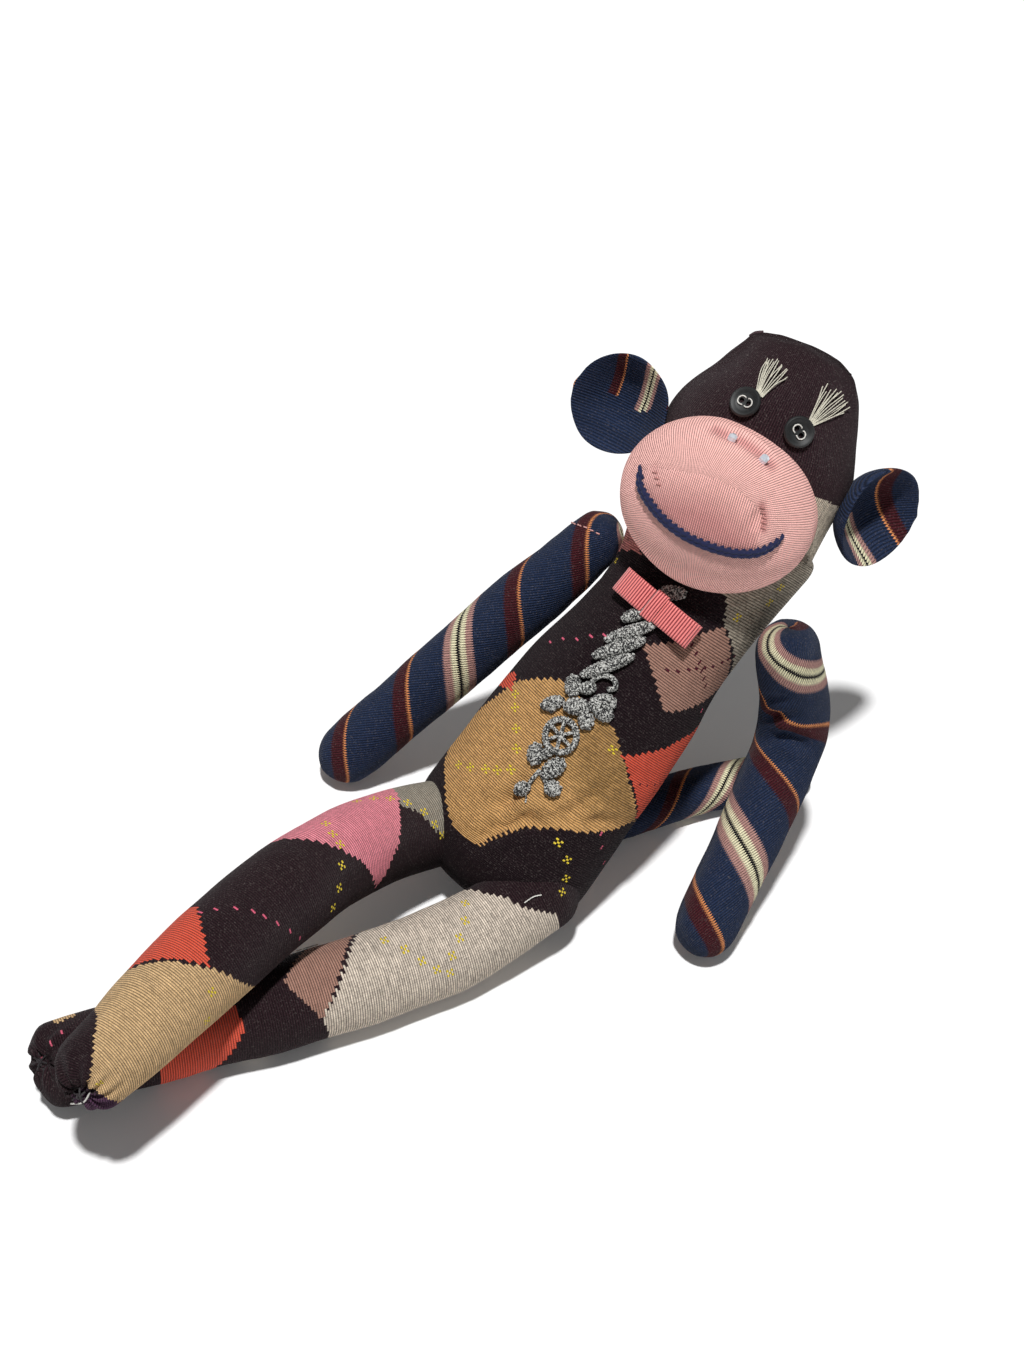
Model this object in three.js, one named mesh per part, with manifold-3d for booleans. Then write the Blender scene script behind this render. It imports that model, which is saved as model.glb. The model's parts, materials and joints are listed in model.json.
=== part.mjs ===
// A stuffed doll cut and hand-sewn from machine-knit socks: one argyle sock gives the head, body and legs,
// a striped sock gives the arms, tail and ears, and a sock heel gives the muzzle.
// Millimetres, +Z up. The doll leans back on its seat, faces -Y, and its own left side is +X.
import * as THREE from 'three';
import { mergeVertices } from 'three/addons/utils/BufferGeometryUtils.js';
import Module from 'manifold-3d';

const wasm = await Module();
wasm.setup();

// Fabric and fits
const KNIT = 1.2; // thickness of the sock fabric
const GAP = 0.35; // clearance between two pieces that touch
const FLAT = 0.5; // depth of the flat where a stuffed piece rests on the floor
const STUFFING_MOUTH = 4; // radius of the hole in a limb's root, through which it was stuffed

// Torso: a leaning tube whose half widths and half depths are given at heights above the hip line
const TORSO_LEAN = 42; // degrees above the floor
const TORSO_TURN = 4.5; // degrees towards the doll's left
const TORSO_LENGTH = 134; // hip line to the start of the neck edge
const SEAT_CAP = 25; // hip line to the end of the seat
const NECK_CAP = 6; // roundness of the neck edge
const HIP_HALF_WIDTH = 35.5;
const WAIST_HALF_WIDTH = 34;
const CHEST_HALF_WIDTH = 32.5;
const NECK_HALF_WIDTH = 29.5;
const HIP_HALF_DEPTH = 27;
const CHEST_HALF_DEPTH = 25.5;
const SEAT_X = -4.5; // the hip line lies this far beside the middle of the pose

// Head: a sock toe on a round neck ball, with its own tilt
const NECK_HEIGHT = TORSO_LENGTH + 10; // hip line to the middle of the neck ball
const NECK_OFFSET = -4; // the neck leans to the doll's right
const NECK_BALL = 24;
const HEAD_PITCH = 53; // degrees above the floor
const HEAD_TURN = 19; // degrees towards the doll's left
const HEAD_TILT = 8; // degrees towards the doll's left shoulder
const HEAD_HEIGHT = 74; // neck ball to the start of the crown
const CROWN_CAP = 6;
const HEAD_HALF_WIDTH = 36;
const HEAD_HALF_DEPTH = 31;
const CROWN_HALF_WIDTH = 17;
const CROWN_OFFSET = -9; // the crown leans to the doll's right

// Muzzle: a stuffed sock heel
const MUZZLE_HALF_WIDTH = 40;
const MUZZLE_HALF_HEIGHT = 29;
const MUZZLE_DEPTH = 36; // from its widest section to its tip
const MUZZLE_FRONT = 26; // its widest section lies this far before the head's axis
const MUZZLE_HEIGHT = 15.5; // above the neck ball
const MOUTH_HALF_WIDTH = 28;
const MOUTH_RISE = 14.5;
const MOUTH_LOW = -3;
const MOUTH_YARN = 1.7;
const NOSTRIL_BEAD = 1.8;
const NOSTRIL_HALF_SPACING = 6.5;
const NOSTRIL_HEIGHT = 35;

// Eyes
const EYE_HEIGHT = MUZZLE_HEIGHT + MUZZLE_HALF_HEIGHT + 5; // the buttons sit just over the muzzle's seam
const EYE_HALF_SPACING = 10.8;
const BUTTON_RADIUS = 6;
const BUTTON_THICKNESS = 2.4;
const BUTTON_HOLE = 1;
const BUTTON_HOLE_OFFSET = 1.9;
const EYE_THREAD = 0.5;
const LASH_LENGTH = 11;
const LASH_STRANDS = 10;
const LASH_STRAND = 0.3;
const LASH_KNOT = 1.3;
const LASH_FAN = 56; // degrees from the first strand to the last
const LASH_LEAN = 20; // degrees towards the doll's left
const LASH_SHIFT = 1.5; // the knot lies this far beside the button's middle

// Limbs
const ARM_ROOT = 10;
const ARM_RADIUS = 12.3;
const HAND_RADIUS = 12.8;
const RIGHT_SHOULDER_HEIGHT = 110; // above the hip line
const LEFT_SHOULDER_HEIGHT = 118;
const LEG_ROOT = 15.5;
const LEG_ANKLE = 16.5;
const THIGH_RADIUS = 16.5;
const FLAT_THIGH = 17.5; // half width of the thigh that lies on the floor
const CALF_RADIUS = 18;
const FOOT_RADIUS = 14.5;
const TOE_LENGTH = 10;
const HIP_SPACING = 24; // each leg's root from the torso's axis
const HIP_FRONT = 4;
const HIP_BELOW = 6;
const TAIL_ROOT = 8.5;
const TAIL_RADIUS = 9.8;
const TAIL_LENGTH = 98;
const TAIL_X = 4; // its root lies beside the torso's middle
const TAIL_SEAT = 0.7; // how much of its root's radius stands out of the torso's back

// Where the limbs run from their roots: towards the doll's left, back, and up where a third number is given
const RIGHT_HAND = [-42, -90];
const LEFT_ELBOW = [12, 9, -47];
const LEFT_HAND = [24, -53];
const RIGHT_THIGH = [-8, -40, 10];
const RIGHT_KNEE = [-5, -95];
const RIGHT_FOOT = [3, -172];
const LEFT_THIGH = [-11, -38];
const LEFT_KNEE = [-34, -95];
const LEFT_FOOT = [-71, -171];
const KNEE_SAG = -5; // the crossing leg's knee and foot lie this far above the height at which it crosses
const FOOT_LIFT = 8;
const TAIL_WAY = [0.42, 0.9];
const TAIL_BOW = -3; // how far the tail's middle is pushed aside

// Ears
const EAR_HALF_HEIGHT = 19;
const EAR_ROOT_HALF_HEIGHT = 9;
const EAR_HALF_THICKNESS = 3.6;
const EAR_REACH = 27; // seam to the start of its round tip
const EAR_TIP = 9;
const EAR_HEIGHT = 27; // of the seam's middle, above the neck ball
const EAR_CUP = 5; // how far the ear bends forward
const EAR_SHOULDER = 4; // the ear is this much less high before and after its widest part
const RIGHT_EAR_BACK = 0; // degrees that each ear is turned back
const LEFT_EAR_BACK = 60;
const LEFT_EAR_RISE = 14; // degrees that its tip points up
const LEFT_EAR_CLOSER = 0.85; // turned back, it leaves the head's side, so its root stands closer

// Ribbon bow and crocheted trim, placed by their height above the hip line
const BOW_HEIGHT = 105;
const BOW_HALF_LENGTH = 18;
const RIBBON_WIDTH = 10;
const RIBBON = 0.6;
const BOW_LOOP = 4.4; // thickness of a loop at its end
const BOW_WAIST = 1.8; // thickness where the wrap pinches it
const WRAP_LENGTH = 8;
const BOW_TURN = 12;
const ROPE_TOP = TORSO_LENGTH - 17;
const ROPE_LOBES = 6;
const ROPE_PITCH = 8;
const ROPE_HALF_WIDTH = 7.2;
const ROPE_HALF_HEIGHT = 4.7;
const ROPE_SLANT = 28;
const TRIM_THICKNESS = 2.3;
const LEAF_HEIGHT = 64;
const LEAVES = 5;
const LEAF_REACH = 6.2; // cluster's middle to a leaf's middle
const LEAF_HALF_LENGTH = 5.4;
const LEAF_HALF_WIDTH = 3.3;
const LEAF_HEART = 5;
const RING_HEIGHT = 47;
const RING_RADIUS = 5.6;
const RING_YARN = 1.4;
const RING_SPOKES = 6;
const SPOKE_YARN = 0.8;
const PETAL_HEIGHT = 34;
const PETAL_HALF_LENGTH = 6.4;
const PETAL_HALF_WIDTH = 3.8;
const PETAL_SPREAD = 4.2;
const PETAL_SLANT = 60;
const BOBBLE_HEIGHT = 23;
const BOBBLE_RADIUS = 3.2;
const BOBBLE_SPREAD = 4.8;
const BOBBLE_STEP = 1.5; // the second bobble lies this much higher
const STALK_HALF_WIDTH = 2.4;

// Threads that close the feet
const GATHER_RADIUS = 2.4;
const GATHER_THREAD = 0.6;
const GATHER_KNOT = 2.1;

// How far each joint turns, in degrees: the sockets are cut for these
const NECK_RANGE = [-20, 8];
const SHOULDER_RANGE = [0, 80];
const RIGHT_HIP_RANGE = [0, 50];
const LEFT_HIP_RANGE = [0, 40];
const TAIL_RANGE = [-5, 60];
const EAR_RANGE = [-20, 20];
const SWEEP_STEP = 6;
const SOCKET_ROOM = 0.7; // round each root in the torso's cover
const STUFFING_ROOM = 3.5; // round each root in the torso's stuffing

// Corners round a cross section
const TRUNK_CORNERS = 20;
const LIMB_CORNERS = 10;

const X = new THREE.Vector3(1, 0, 0);
const Z = new THREE.Vector3(0, 0, 1);
const rad = THREE.MathUtils.degToRad;
const at = (x, y, z) => new THREE.Vector3(x, y, z);

function solidOf(geometry) {
  const bare = geometry.clone();
  bare.deleteAttribute('normal');
  bare.deleteAttribute('uv');
  const merged = mergeVertices(bare, 1e-4);
  return new wasm.Manifold(new wasm.Mesh({
    numProp: 3,
    vertProperties: new Float32Array(merged.attributes.position.array),
    triVerts: new Uint32Array(merged.index.array),
  }));
}

function geometryOf(solid) {
  const mesh = solid.getMesh();
  const geometry = new THREE.BufferGeometry();
  geometry.setAttribute('position', new THREE.Float32BufferAttribute(mesh.vertProperties, 3));
  geometry.setIndex(new THREE.BufferAttribute(mesh.triVerts, 1));
  geometry.computeVertexNormals();
  return geometry;
}

function cut(solid, cutters) {
  return cutters.reduce((left, cutter) => left.subtract(cutter), solid);
}

function join(solids) {
  return solids.reduce((left, right) => left.add(right));
}

// A closed skin over elliptical rings, each with a centre and two half axes, and a pole at each end.
// Each ring has a corner at both ends of its deep axis.
function skin(startPole, rings, endPole, sides) {
  const points = [startPole];
  for (const ring of rings) {
    for (let k = 0; k < sides; k += 1) {
      const angle = Math.PI / 2 + (k / sides) * 2 * Math.PI;
      const point = ring.centre.clone();
      point.addScaledVector(ring.across, Math.cos(angle));
      point.addScaledVector(ring.deep, Math.sin(angle));
      points.push(point);
    }
  }
  points.push(endPole);
  const faces = [];
  const last = points.length - 1;
  const corner = (ring, k) => 1 + ring * sides + (k % sides);
  for (let k = 0; k < sides; k += 1) {
    faces.push(0, corner(0, k + 1), corner(0, k));
    faces.push(last, corner(rings.length - 1, k), corner(rings.length - 1, k + 1));
    for (let ring = 0; ring < rings.length - 1; ring += 1) {
      const a = corner(ring, k);
      const b = corner(ring, k + 1);
      const c = corner(ring + 1, k + 1);
      const d = corner(ring + 1, k);
      faces.push(a, b, c, a, c, d);
    }
  }
  const geometry = new THREE.BufferGeometry();
  geometry.setAttribute('position', new THREE.Float32BufferAttribute(points.flatMap((p) => p.toArray()), 3));
  geometry.setIndex(faces);
  return geometry;
}

function between(stations, t, key) {
  const next = Math.max(1, stations.findIndex((station) => station.t >= t));
  const from = stations[next - 1];
  const to = stations[next];
  const share = THREE.MathUtils.smoothstep(t, from.t, to.t);
  return THREE.MathUtils.lerp(from[key], to[key], share);
}

// A stuffed form that swells and tapers along a route: wide and deep are its half sizes at shares t of the
// route, and a round cap closes each end. grow makes it larger, or smaller where it is negative.
function stuffed({ route, stations, side, startCap, endCap, rings, sides }) {
  const curve = route.length > 2 ? new THREE.CatmullRomCurve3(route) : new THREE.LineCurve3(...route);
  const capAngles = [60, 25];
  return (grow = 0, corners = sides) => {
    const ringAt = (t, shift, share) => {
      const tangent = curve.getTangentAt(t);
      const deep = tangent.clone().cross(side).normalize();
      const across = deep.clone().cross(tangent).normalize();
      return {
        centre: curve.getPointAt(t).addScaledVector(tangent, shift),
        across: across.multiplyScalar((between(stations, t, 'wide') + grow) * share),
        deep: deep.multiplyScalar((between(stations, t, 'deep') + grow) * share),
      };
    };
    const start = startCap + grow;
    const end = endCap + grow;
    const list = [];
    for (const angle of capAngles) {
      list.push(ringAt(0, -start * Math.sin(rad(angle)), Math.cos(rad(angle))));
    }
    for (let ring = 0; ring <= rings; ring += 1) {
      list.push(ringAt(ring / rings, 0, 1));
    }
    for (const angle of [...capAngles].reverse()) {
      list.push(ringAt(1, end * Math.sin(rad(angle)), Math.cos(rad(angle))));
    }
    const startPole = curve.getPointAt(0).addScaledVector(curve.getTangentAt(0), -start);
    const endPole = curve.getPointAt(1).addScaledVector(curve.getTangentAt(1), end);
    return skin(startPole, list, endPole, corners);
  };
}

// The height that puts a form's lowest point a flat's depth below the floor
function restingHeight(formAt, guess) {
  const { position } = formAt(guess)().attributes;
  return guess - new THREE.Box3().setFromBufferAttribute(position).min.z - FLAT;
}

// Everything below a level, to cut a flat where a form rests
function below(level) {
  const reach = 2000;
  return solidOf(new THREE.BoxGeometry(reach, reach, reach).translate(0, 0, level - reach / 2));
}

// The cover of a form: its skin, cut flat on the floor
function coverOf(form, cutters) {
  const hollow = solidOf(form(-KNIT)).subtract(below(KNIT));
  return cut(solidOf(form()).subtract(hollow), [below(0), ...cutters]);
}

// The stuffing has half of its cover's corners, so it lies inside the cover all round
function stuffingOf(form, corners, cutters) {
  return cut(solidOf(form(-KNIT - GAP, corners / 2)), [below(KNIT + GAP), ...cutters]);
}

// The hole through which a cover was stuffed
function mouthAt(centre, direction, radius, depth) {
  const hole = new THREE.CylinderGeometry(radius, radius, depth, 8);
  hole.applyQuaternion(new THREE.Quaternion().setFromUnitVectors(at(0, 1, 0), direction));
  return solidOf(hole.translate(...centre.toArray()));
}

function ballAt(centre, radius) {
  return solidOf(new THREE.SphereGeometry(radius, 16, 10).translate(...centre.toArray()));
}

// Copies of a form, a clearance larger, turned through its joint's range
function sweep(geometry, pivot, axis, [low, high]) {
  const steps = Math.max(1, Math.ceil((high - low) / SWEEP_STEP));
  const copies = [];
  for (let step = 0; step <= steps; step += 1) {
    const angle = rad(low + ((high - low) * step) / steps);
    const turn = new THREE.Matrix4().makeTranslation(...pivot.toArray());
    turn.multiply(new THREE.Matrix4().makeRotationAxis(axis, angle));
    turn.multiply(new THREE.Matrix4().makeTranslation(...pivot.clone().negate().toArray()));
    copies.push(solidOf(geometry.clone().applyMatrix4(turn)));
  }
  return copies;
}

// Torso: its frame has x to the doll's left, y to its back and z along the torso
const torsoStations = [
  { t: 0, wide: HIP_HALF_WIDTH, deep: HIP_HALF_DEPTH },
  { t: 0.5, wide: WAIST_HALF_WIDTH, deep: (HIP_HALF_DEPTH + CHEST_HALF_DEPTH) / 2 },
  { t: 0.85, wide: CHEST_HALF_WIDTH, deep: CHEST_HALF_DEPTH },
  { t: 1, wide: NECK_HALF_WIDTH, deep: CHEST_HALF_DEPTH - 1 },
];
const torsoTurned = new THREE.Matrix4().makeRotationZ(rad(-TORSO_TURN));
torsoTurned.multiply(new THREE.Matrix4().makeRotationX(rad(TORSO_LEAN - 90)));
const torsoFrameAt = (height) => torsoTurned.clone().setPosition(SEAT_X, 0, height);
const torsoFormAt = (height) => stuffed({
  route: [at(0, 0, 0), at(0, 0, TORSO_LENGTH)].map((point) => point.applyMatrix4(torsoFrameAt(height))),
  stations: torsoStations,
  side: at(1, 0, 0).transformDirection(torsoTurned),
  startCap: SEAT_CAP,
  endCap: NECK_CAP,
  rings: 7,
  sides: TRUNK_CORNERS,
});
const hipHeight = restingHeight(torsoFormAt, SEAT_CAP);
const torsoForm = torsoFormAt(hipHeight);
const torsoFrame = torsoFrameAt(hipHeight);
const onTorso = (x, y, z) => at(x, y, z).applyMatrix4(torsoFrame);
const torsoWay = (x, y, z) => at(x, y, z).transformDirection(torsoFrame);

// Head and muzzle: the same kind of frame, set on the neck ball
const neck = onTorso(NECK_OFFSET, 0, NECK_HEIGHT);
const headTurned = new THREE.Matrix4().makeRotationZ(rad(HEAD_TURN));
headTurned.multiply(new THREE.Matrix4().makeRotationX(rad(HEAD_PITCH - 90)));
headTurned.multiply(new THREE.Matrix4().makeRotationY(rad(HEAD_TILT)));
const headFrame = headTurned.clone().setPosition(neck);
const onHead = (x, y, z) => at(x, y, z).applyMatrix4(headFrame);
const headWay = (x, y, z) => at(x, y, z).transformDirection(headFrame);

const headForm = stuffed({
  route: [onHead(0, 0, 0), onHead(CROWN_OFFSET, 0, HEAD_HEIGHT)],
  stations: [
    { t: 0, wide: NECK_BALL, deep: NECK_BALL },
    { t: 0.36, wide: HEAD_HALF_WIDTH, deep: HEAD_HALF_DEPTH },
    { t: 0.62, wide: HEAD_HALF_WIDTH - 2, deep: HEAD_HALF_DEPTH - 1 },
    { t: 1, wide: CROWN_HALF_WIDTH, deep: CROWN_HALF_WIDTH },
  ],
  side: headWay(1, 0, 0),
  startCap: NECK_BALL,
  endCap: CROWN_CAP,
  rings: 8,
  sides: TRUNK_CORNERS,
});

function muzzleForm(grow = 0) {
  const dome = new THREE.SphereGeometry(1, 16, 12);
  dome.scale(MUZZLE_HALF_WIDTH + grow, MUZZLE_DEPTH + grow, MUZZLE_HALF_HEIGHT + grow);
  return dome.translate(0, -MUZZLE_FRONT, MUZZLE_HEIGHT).applyMatrix4(headFrame);
}

// Limbs: each has its root, its form, and the hole through which it was stuffed
function limb({ route, wide, deep = wide, startCap, endCap }) {
  const stations = wide.map((size, k) => ({ t: k / (wide.length - 1), wide: size, deep: deep[k] }));
  const [root, next] = route;
  const way = next.clone().sub(root).normalize();
  const form = stuffed({ route, stations, side: X, startCap, endCap, rings: 8, sides: LIMB_CORNERS });
  const mouth = mouthAt(root.clone().addScaledVector(way, -startCap), way, STUFFING_MOUTH, startCap);
  return { root, form, mouth };
}

function arm(...route) {
  const wide = [ARM_ROOT, ARM_RADIUS, ARM_RADIUS, HAND_RADIUS, HAND_RADIUS];
  return limb({ route, wide, startCap: ARM_ROOT, endCap: HAND_RADIUS });
}

// A point beside a root: its first two numbers are counted from the root, and its height from the floor
const beside = (root, [x, y], height) => at(root.x + x, root.y + y, height);

const chestAt = (height) => between(torsoStations, height / TORSO_LENGTH, 'wide');
const shoulderAt = (side, height) => onTorso(side * (chestAt(height) + ARM_ROOT + GAP), 0, height);
const rightShoulder = shoulderAt(-1, RIGHT_SHOULDER_HEIGHT);
const leftShoulder = shoulderAt(1, LEFT_SHOULDER_HEIGHT);
const leftElbow = leftShoulder.clone().add(at(...LEFT_ELBOW));
const armRightAt = (height) => arm(rightShoulder, beside(rightShoulder, RIGHT_HAND, height));
const armLeftAt = (height) => arm(leftShoulder, leftElbow, beside(leftShoulder, LEFT_HAND, height));
const armRight = armRightAt(restingHeight((height) => armRightAt(height).form, HAND_RADIUS));
const armLeft = armLeftAt(restingHeight((height) => armLeftAt(height).form, HAND_RADIUS));

// The left leg lies on the floor, and the right one lies over it
const hipAt = (side) => onTorso(side * HIP_SPACING, -HIP_FRONT, -HIP_BELOW);
const rightHip = hipAt(-1);
const leftHip = hipAt(1);
const legLeftAt = (height) => limb({
  route: [
    leftHip,
    beside(leftHip, LEFT_THIGH, height),
    beside(leftHip, LEFT_KNEE, height),
    beside(leftHip, LEFT_FOOT, height - THIGH_RADIUS + FOOT_RADIUS),
  ],
  wide: [LEG_ROOT, FLAT_THIGH, FLAT_THIGH, FLAT_THIGH, THIGH_RADIUS, THIGH_RADIUS, FOOT_RADIUS],
  deep: [LEG_ROOT, THIGH_RADIUS, THIGH_RADIUS, THIGH_RADIUS, THIGH_RADIUS, THIGH_RADIUS, FOOT_RADIUS],
  startCap: LEG_ROOT,
  endCap: TOE_LENGTH,
});
const legRest = restingHeight((height) => legLeftAt(height).form, THIGH_RADIUS);
const legLeft = legLeftAt(legRest);
const crossing = legRest + THIGH_RADIUS + CALF_RADIUS;
const legRight = limb({
  route: [
    rightHip,
    rightHip.clone().add(at(...RIGHT_THIGH)),
    beside(rightHip, RIGHT_KNEE, crossing + KNEE_SAG),
    beside(rightHip, RIGHT_FOOT, crossing + FOOT_LIFT),
  ],
  wide: [LEG_ROOT, THIGH_RADIUS - 1, THIGH_RADIUS, CALF_RADIUS, CALF_RADIUS, LEG_ANKLE, FOOT_RADIUS],
  startCap: LEG_ROOT,
  endCap: TOE_LENGTH,
});

// The tail lies on the floor and leaves the torso's back at the height of its own middle
const lean = rad(TORSO_LEAN);
const backAt = (height) => (height - hipHeight + HIP_HALF_DEPTH * Math.cos(lean)) / Math.sin(lean);
const tailWay = at(...TAIL_WAY, 0).normalize();
const tailAt = (height) => {
  const root = onTorso(TAIL_X, HIP_HALF_DEPTH, backAt(height)).add(at(0, TAIL_SEAT * TAIL_ROOT, 0));
  const end = root.clone().addScaledVector(tailWay, TAIL_LENGTH);
  return limb({
    route: [root, root.clone().lerp(end, 0.5).add(at(TAIL_BOW, 0, 0)), end],
    wide: [TAIL_ROOT, TAIL_RADIUS, TAIL_RADIUS, TAIL_RADIUS],
    startCap: TAIL_ROOT,
    endCap: TAIL_RADIUS,
  });
};
const tail = tailAt(restingHeight((height) => tailAt(height).form, TAIL_RADIUS));

// Ears: cupped pads sewn to the head's sides by their narrow roots, each turned back by its own angle
function ear(side, turnedBack, rise = 0, closer = 0) {
  const middle = CROWN_OFFSET * EAR_HEIGHT / HEAD_HEIGHT;
  const root = at(middle + side * (HEAD_HALF_WIDTH + EAR_HALF_THICKNESS + GAP - closer), 0, EAR_HEIGHT);
  const out = at(side * Math.cos(rad(turnedBack)), Math.sin(rad(turnedBack)), Math.tan(rad(rise))).normalize();
  const forward = at(side * Math.sin(rad(turnedBack)), -Math.cos(rad(turnedBack)), 0);
  const spot = (reach, bend) => root.clone().addScaledVector(out, reach).addScaledVector(forward, bend)
    .applyMatrix4(headFrame);
  const shoulder = EAR_HALF_HEIGHT - EAR_SHOULDER;
  const wide = [EAR_ROOT_HALF_HEIGHT, shoulder, EAR_HALF_HEIGHT, EAR_HALF_HEIGHT, shoulder];
  const deep = EAR_HALF_THICKNESS;
  const stations = wide.map((size, k) => ({ t: k / (wide.length - 1), wide: size, deep }));
  const form = stuffed({
    route: [spot(0, 0), spot(EAR_REACH / 2, -EAR_CUP / 2), spot(EAR_REACH, EAR_CUP / 2)],
    stations,
    side: headWay(0, 0, 1),
    startCap: EAR_HALF_THICKNESS,
    endCap: EAR_TIP,
    rings: 5,
    sides: LIMB_CORNERS,
  });
  const way = out.clone().transformDirection(headFrame);
  const mouth = mouthAt(spot(-EAR_HALF_THICKNESS, 0), way, EAR_HALF_THICKNESS / 2, EAR_HALF_THICKNESS * 2);
  return { root: spot(0, 0), form, mouth };
}
const earRight = ear(-1, RIGHT_EAR_BACK);
const earLeft = ear(1, LEFT_EAR_BACK, LEFT_EAR_RISE, LEFT_EAR_CLOSER);

// Joint axes: a positive turn nods forward, lifts a limb, opens the legs, or swings the tail or an ear
const nodAxis = headWay(1, 0, 0);
const liftAxis = X.clone().negate();
const seamAxis = headWay(0, 0, 1);

const colours = {
  aubergine: 0x33242b, argyle: 0x3a2a30, stripe: 0x232c40, pink: 0xe0a09c, fibre: 0xefece4, black: 0x17171a,
  cream: 0xd9d2b8, glass: 0xdfe8ee, blue: 0x1b2a7a, coral: 0xd8565a, grey: 0x8b8c8c, thread: 0x3a2430,
};
const doll = new THREE.Group();

// A moving body is a group that stands on its joint, and keeps the joint's axis and range
function body(parent, joint, pivot, axis, range) {
  const group = new THREE.Group();
  group.position.copy(pivot).sub(parent.getWorldPosition(at(0, 0, 0)));
  group.userData = { joint, axis, range };
  parent.add(group);
  group.updateWorldMatrix(true, false);
  return group;
}
const head = body(doll, 'neck', neck, nodAxis, NECK_RANGE);
const bodies = {
  arm_right: body(doll, 'shoulder_right', rightShoulder, liftAxis, SHOULDER_RANGE),
  arm_left: body(doll, 'shoulder_left', leftShoulder, liftAxis, SHOULDER_RANGE),
  leg_right: body(doll, 'hip_right', rightHip, liftAxis, RIGHT_HIP_RANGE),
  leg_left: body(doll, 'hip_left', leftHip, Z, LEFT_HIP_RANGE),
  tail: body(doll, 'tail_root', tail.root, Z, TAIL_RANGE),
  ear_right: body(head, 'ear_right_seam', earRight.root, seamAxis, EAR_RANGE),
  ear_left: body(head, 'ear_left_seam', earLeft.root, seamAxis, EAR_RANGE),
};

// A piece of a body. Its solid is in the doll's own frame, or else in the frame that is given.
function add(parent, name, solid, { colour, roughness = 0.9, frame = new THREE.Matrix4(), lift = 0 }) {
  const material = new THREE.MeshStandardMaterial({ color: colours[colour], roughness, metalness: 0 });
  const mesh = new THREE.Mesh(geometryOf(solid), material);
  mesh.name = name;
  mesh.applyMatrix4(frame.clone().multiply(new THREE.Matrix4().makeTranslation(0, 0, lift)));
  mesh.position.sub(parent.getWorldPosition(at(0, 0, 0)));
  parent.add(mesh);
  return mesh;
}

// The head's knit moves with the muzzle, so both clear the neck edge of the torso
const headSweep = [
  ...sweep(headForm(GAP), neck, nodAxis, NECK_RANGE),
  ...sweep(muzzleForm(GAP), neck, nodAxis, NECK_RANGE),
];
const sockets = (room) => [
  ballAt(neck, NECK_BALL + room),
  ballAt(rightHip, LEG_ROOT + room),
  ballAt(leftHip, LEG_ROOT + room),
  ballAt(tail.root, TAIL_ROOT + room),
];
const legLeftSweep = sweep(legLeft.form(GAP), leftHip, Z, LEFT_HIP_RANGE);
const torsoCutters = [
  ...sockets(SOCKET_ROOM),
  ...headSweep,
  ...sweep(legRight.form(GAP), rightHip, liftAxis, RIGHT_HIP_RANGE),
  ...legLeftSweep,
  ...sweep(tail.form(GAP), tail.root, Z, TAIL_RANGE),
];
const torsoCover = add(doll, 'torso_cover', coverOf(torsoForm, torsoCutters), { colour: 'argyle' });
const torsoStuffing = stuffingOf(torsoForm, TRUNK_CORNERS, [...sockets(STUFFING_ROOM), ...torsoCutters]);
add(doll, 'torso_stuffing', torsoStuffing, { colour: 'fibre' });

const neckMouth = mouthAt(onHead(0, 0, -NECK_BALL), headWay(0, 0, 1), NECK_BALL / 3, NECK_BALL);
const headCover = add(head, 'head_cover', coverOf(headForm, [neckMouth]), { colour: 'aubergine' });
add(head, 'head_stuffing', stuffingOf(headForm, TRUNK_CORNERS, []), { colour: 'fibre' });

const headRoom = solidOf(headForm(GAP));
const muzzleShell = cut(solidOf(muzzleForm()), [solidOf(muzzleForm(-KNIT)), headRoom]);
const muzzleCover = add(head, 'muzzle_cover', muzzleShell, { colour: 'pink' });
add(head, 'muzzle_stuffing', cut(solidOf(muzzleForm(-KNIT - GAP)), [headRoom]), { colour: 'fibre' });

const limbs = [
  { name: 'arm_right', part: armRight, colour: 'stripe', cutters: [] },
  { name: 'arm_left', part: armLeft, colour: 'stripe', cutters: [] },
  { name: 'leg_right', part: legRight, colour: 'argyle', cutters: legLeftSweep },
  { name: 'leg_left', part: legLeft, colour: 'argyle', cutters: [] },
  { name: 'tail', part: tail, colour: 'stripe', cutters: [] },
  { name: 'ear_right', part: earRight, colour: 'stripe', cutters: [] },
  { name: 'ear_left', part: earLeft, colour: 'stripe', cutters: [] },
];
for (const { name, part, colour, cutters } of limbs) {
  add(bodies[name], `${name}_cover`, coverOf(part.form, [part.mouth, ...cutters]), { colour });
  add(bodies[name], `${name}_stuffing`, stuffingOf(part.form, LIMB_CORNERS, cutters), { colour: 'fibre' });
}

// A point and a frame on a finished surface: the first face that a straight line from outside meets
function seatOn(mesh, origin, direction, up) {
  mesh.updateWorldMatrix(true, false);
  const [hit] = new THREE.Raycaster(origin, direction).intersectObject(mesh);
  const normal = hit.face.normal.clone();
  const across = up.clone().cross(normal).normalize();
  const rise = normal.clone().cross(across);
  return new THREE.Matrix4().makeBasis(across, rise, normal).setPosition(hit.point);
}

const DISTANCE = 200; // far enough to lie outside the doll
const onFace = (x, z, mesh) => seatOn(mesh, onHead(x, -DISTANCE, z), headWay(0, 1, 0), headWay(0, 0, 1));
const onChest = (x, z) => seatOn(torsoCover, onTorso(x, -DISTANCE, z), torsoWay(0, 1, 0), torsoWay(0, 0, 1));

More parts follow.
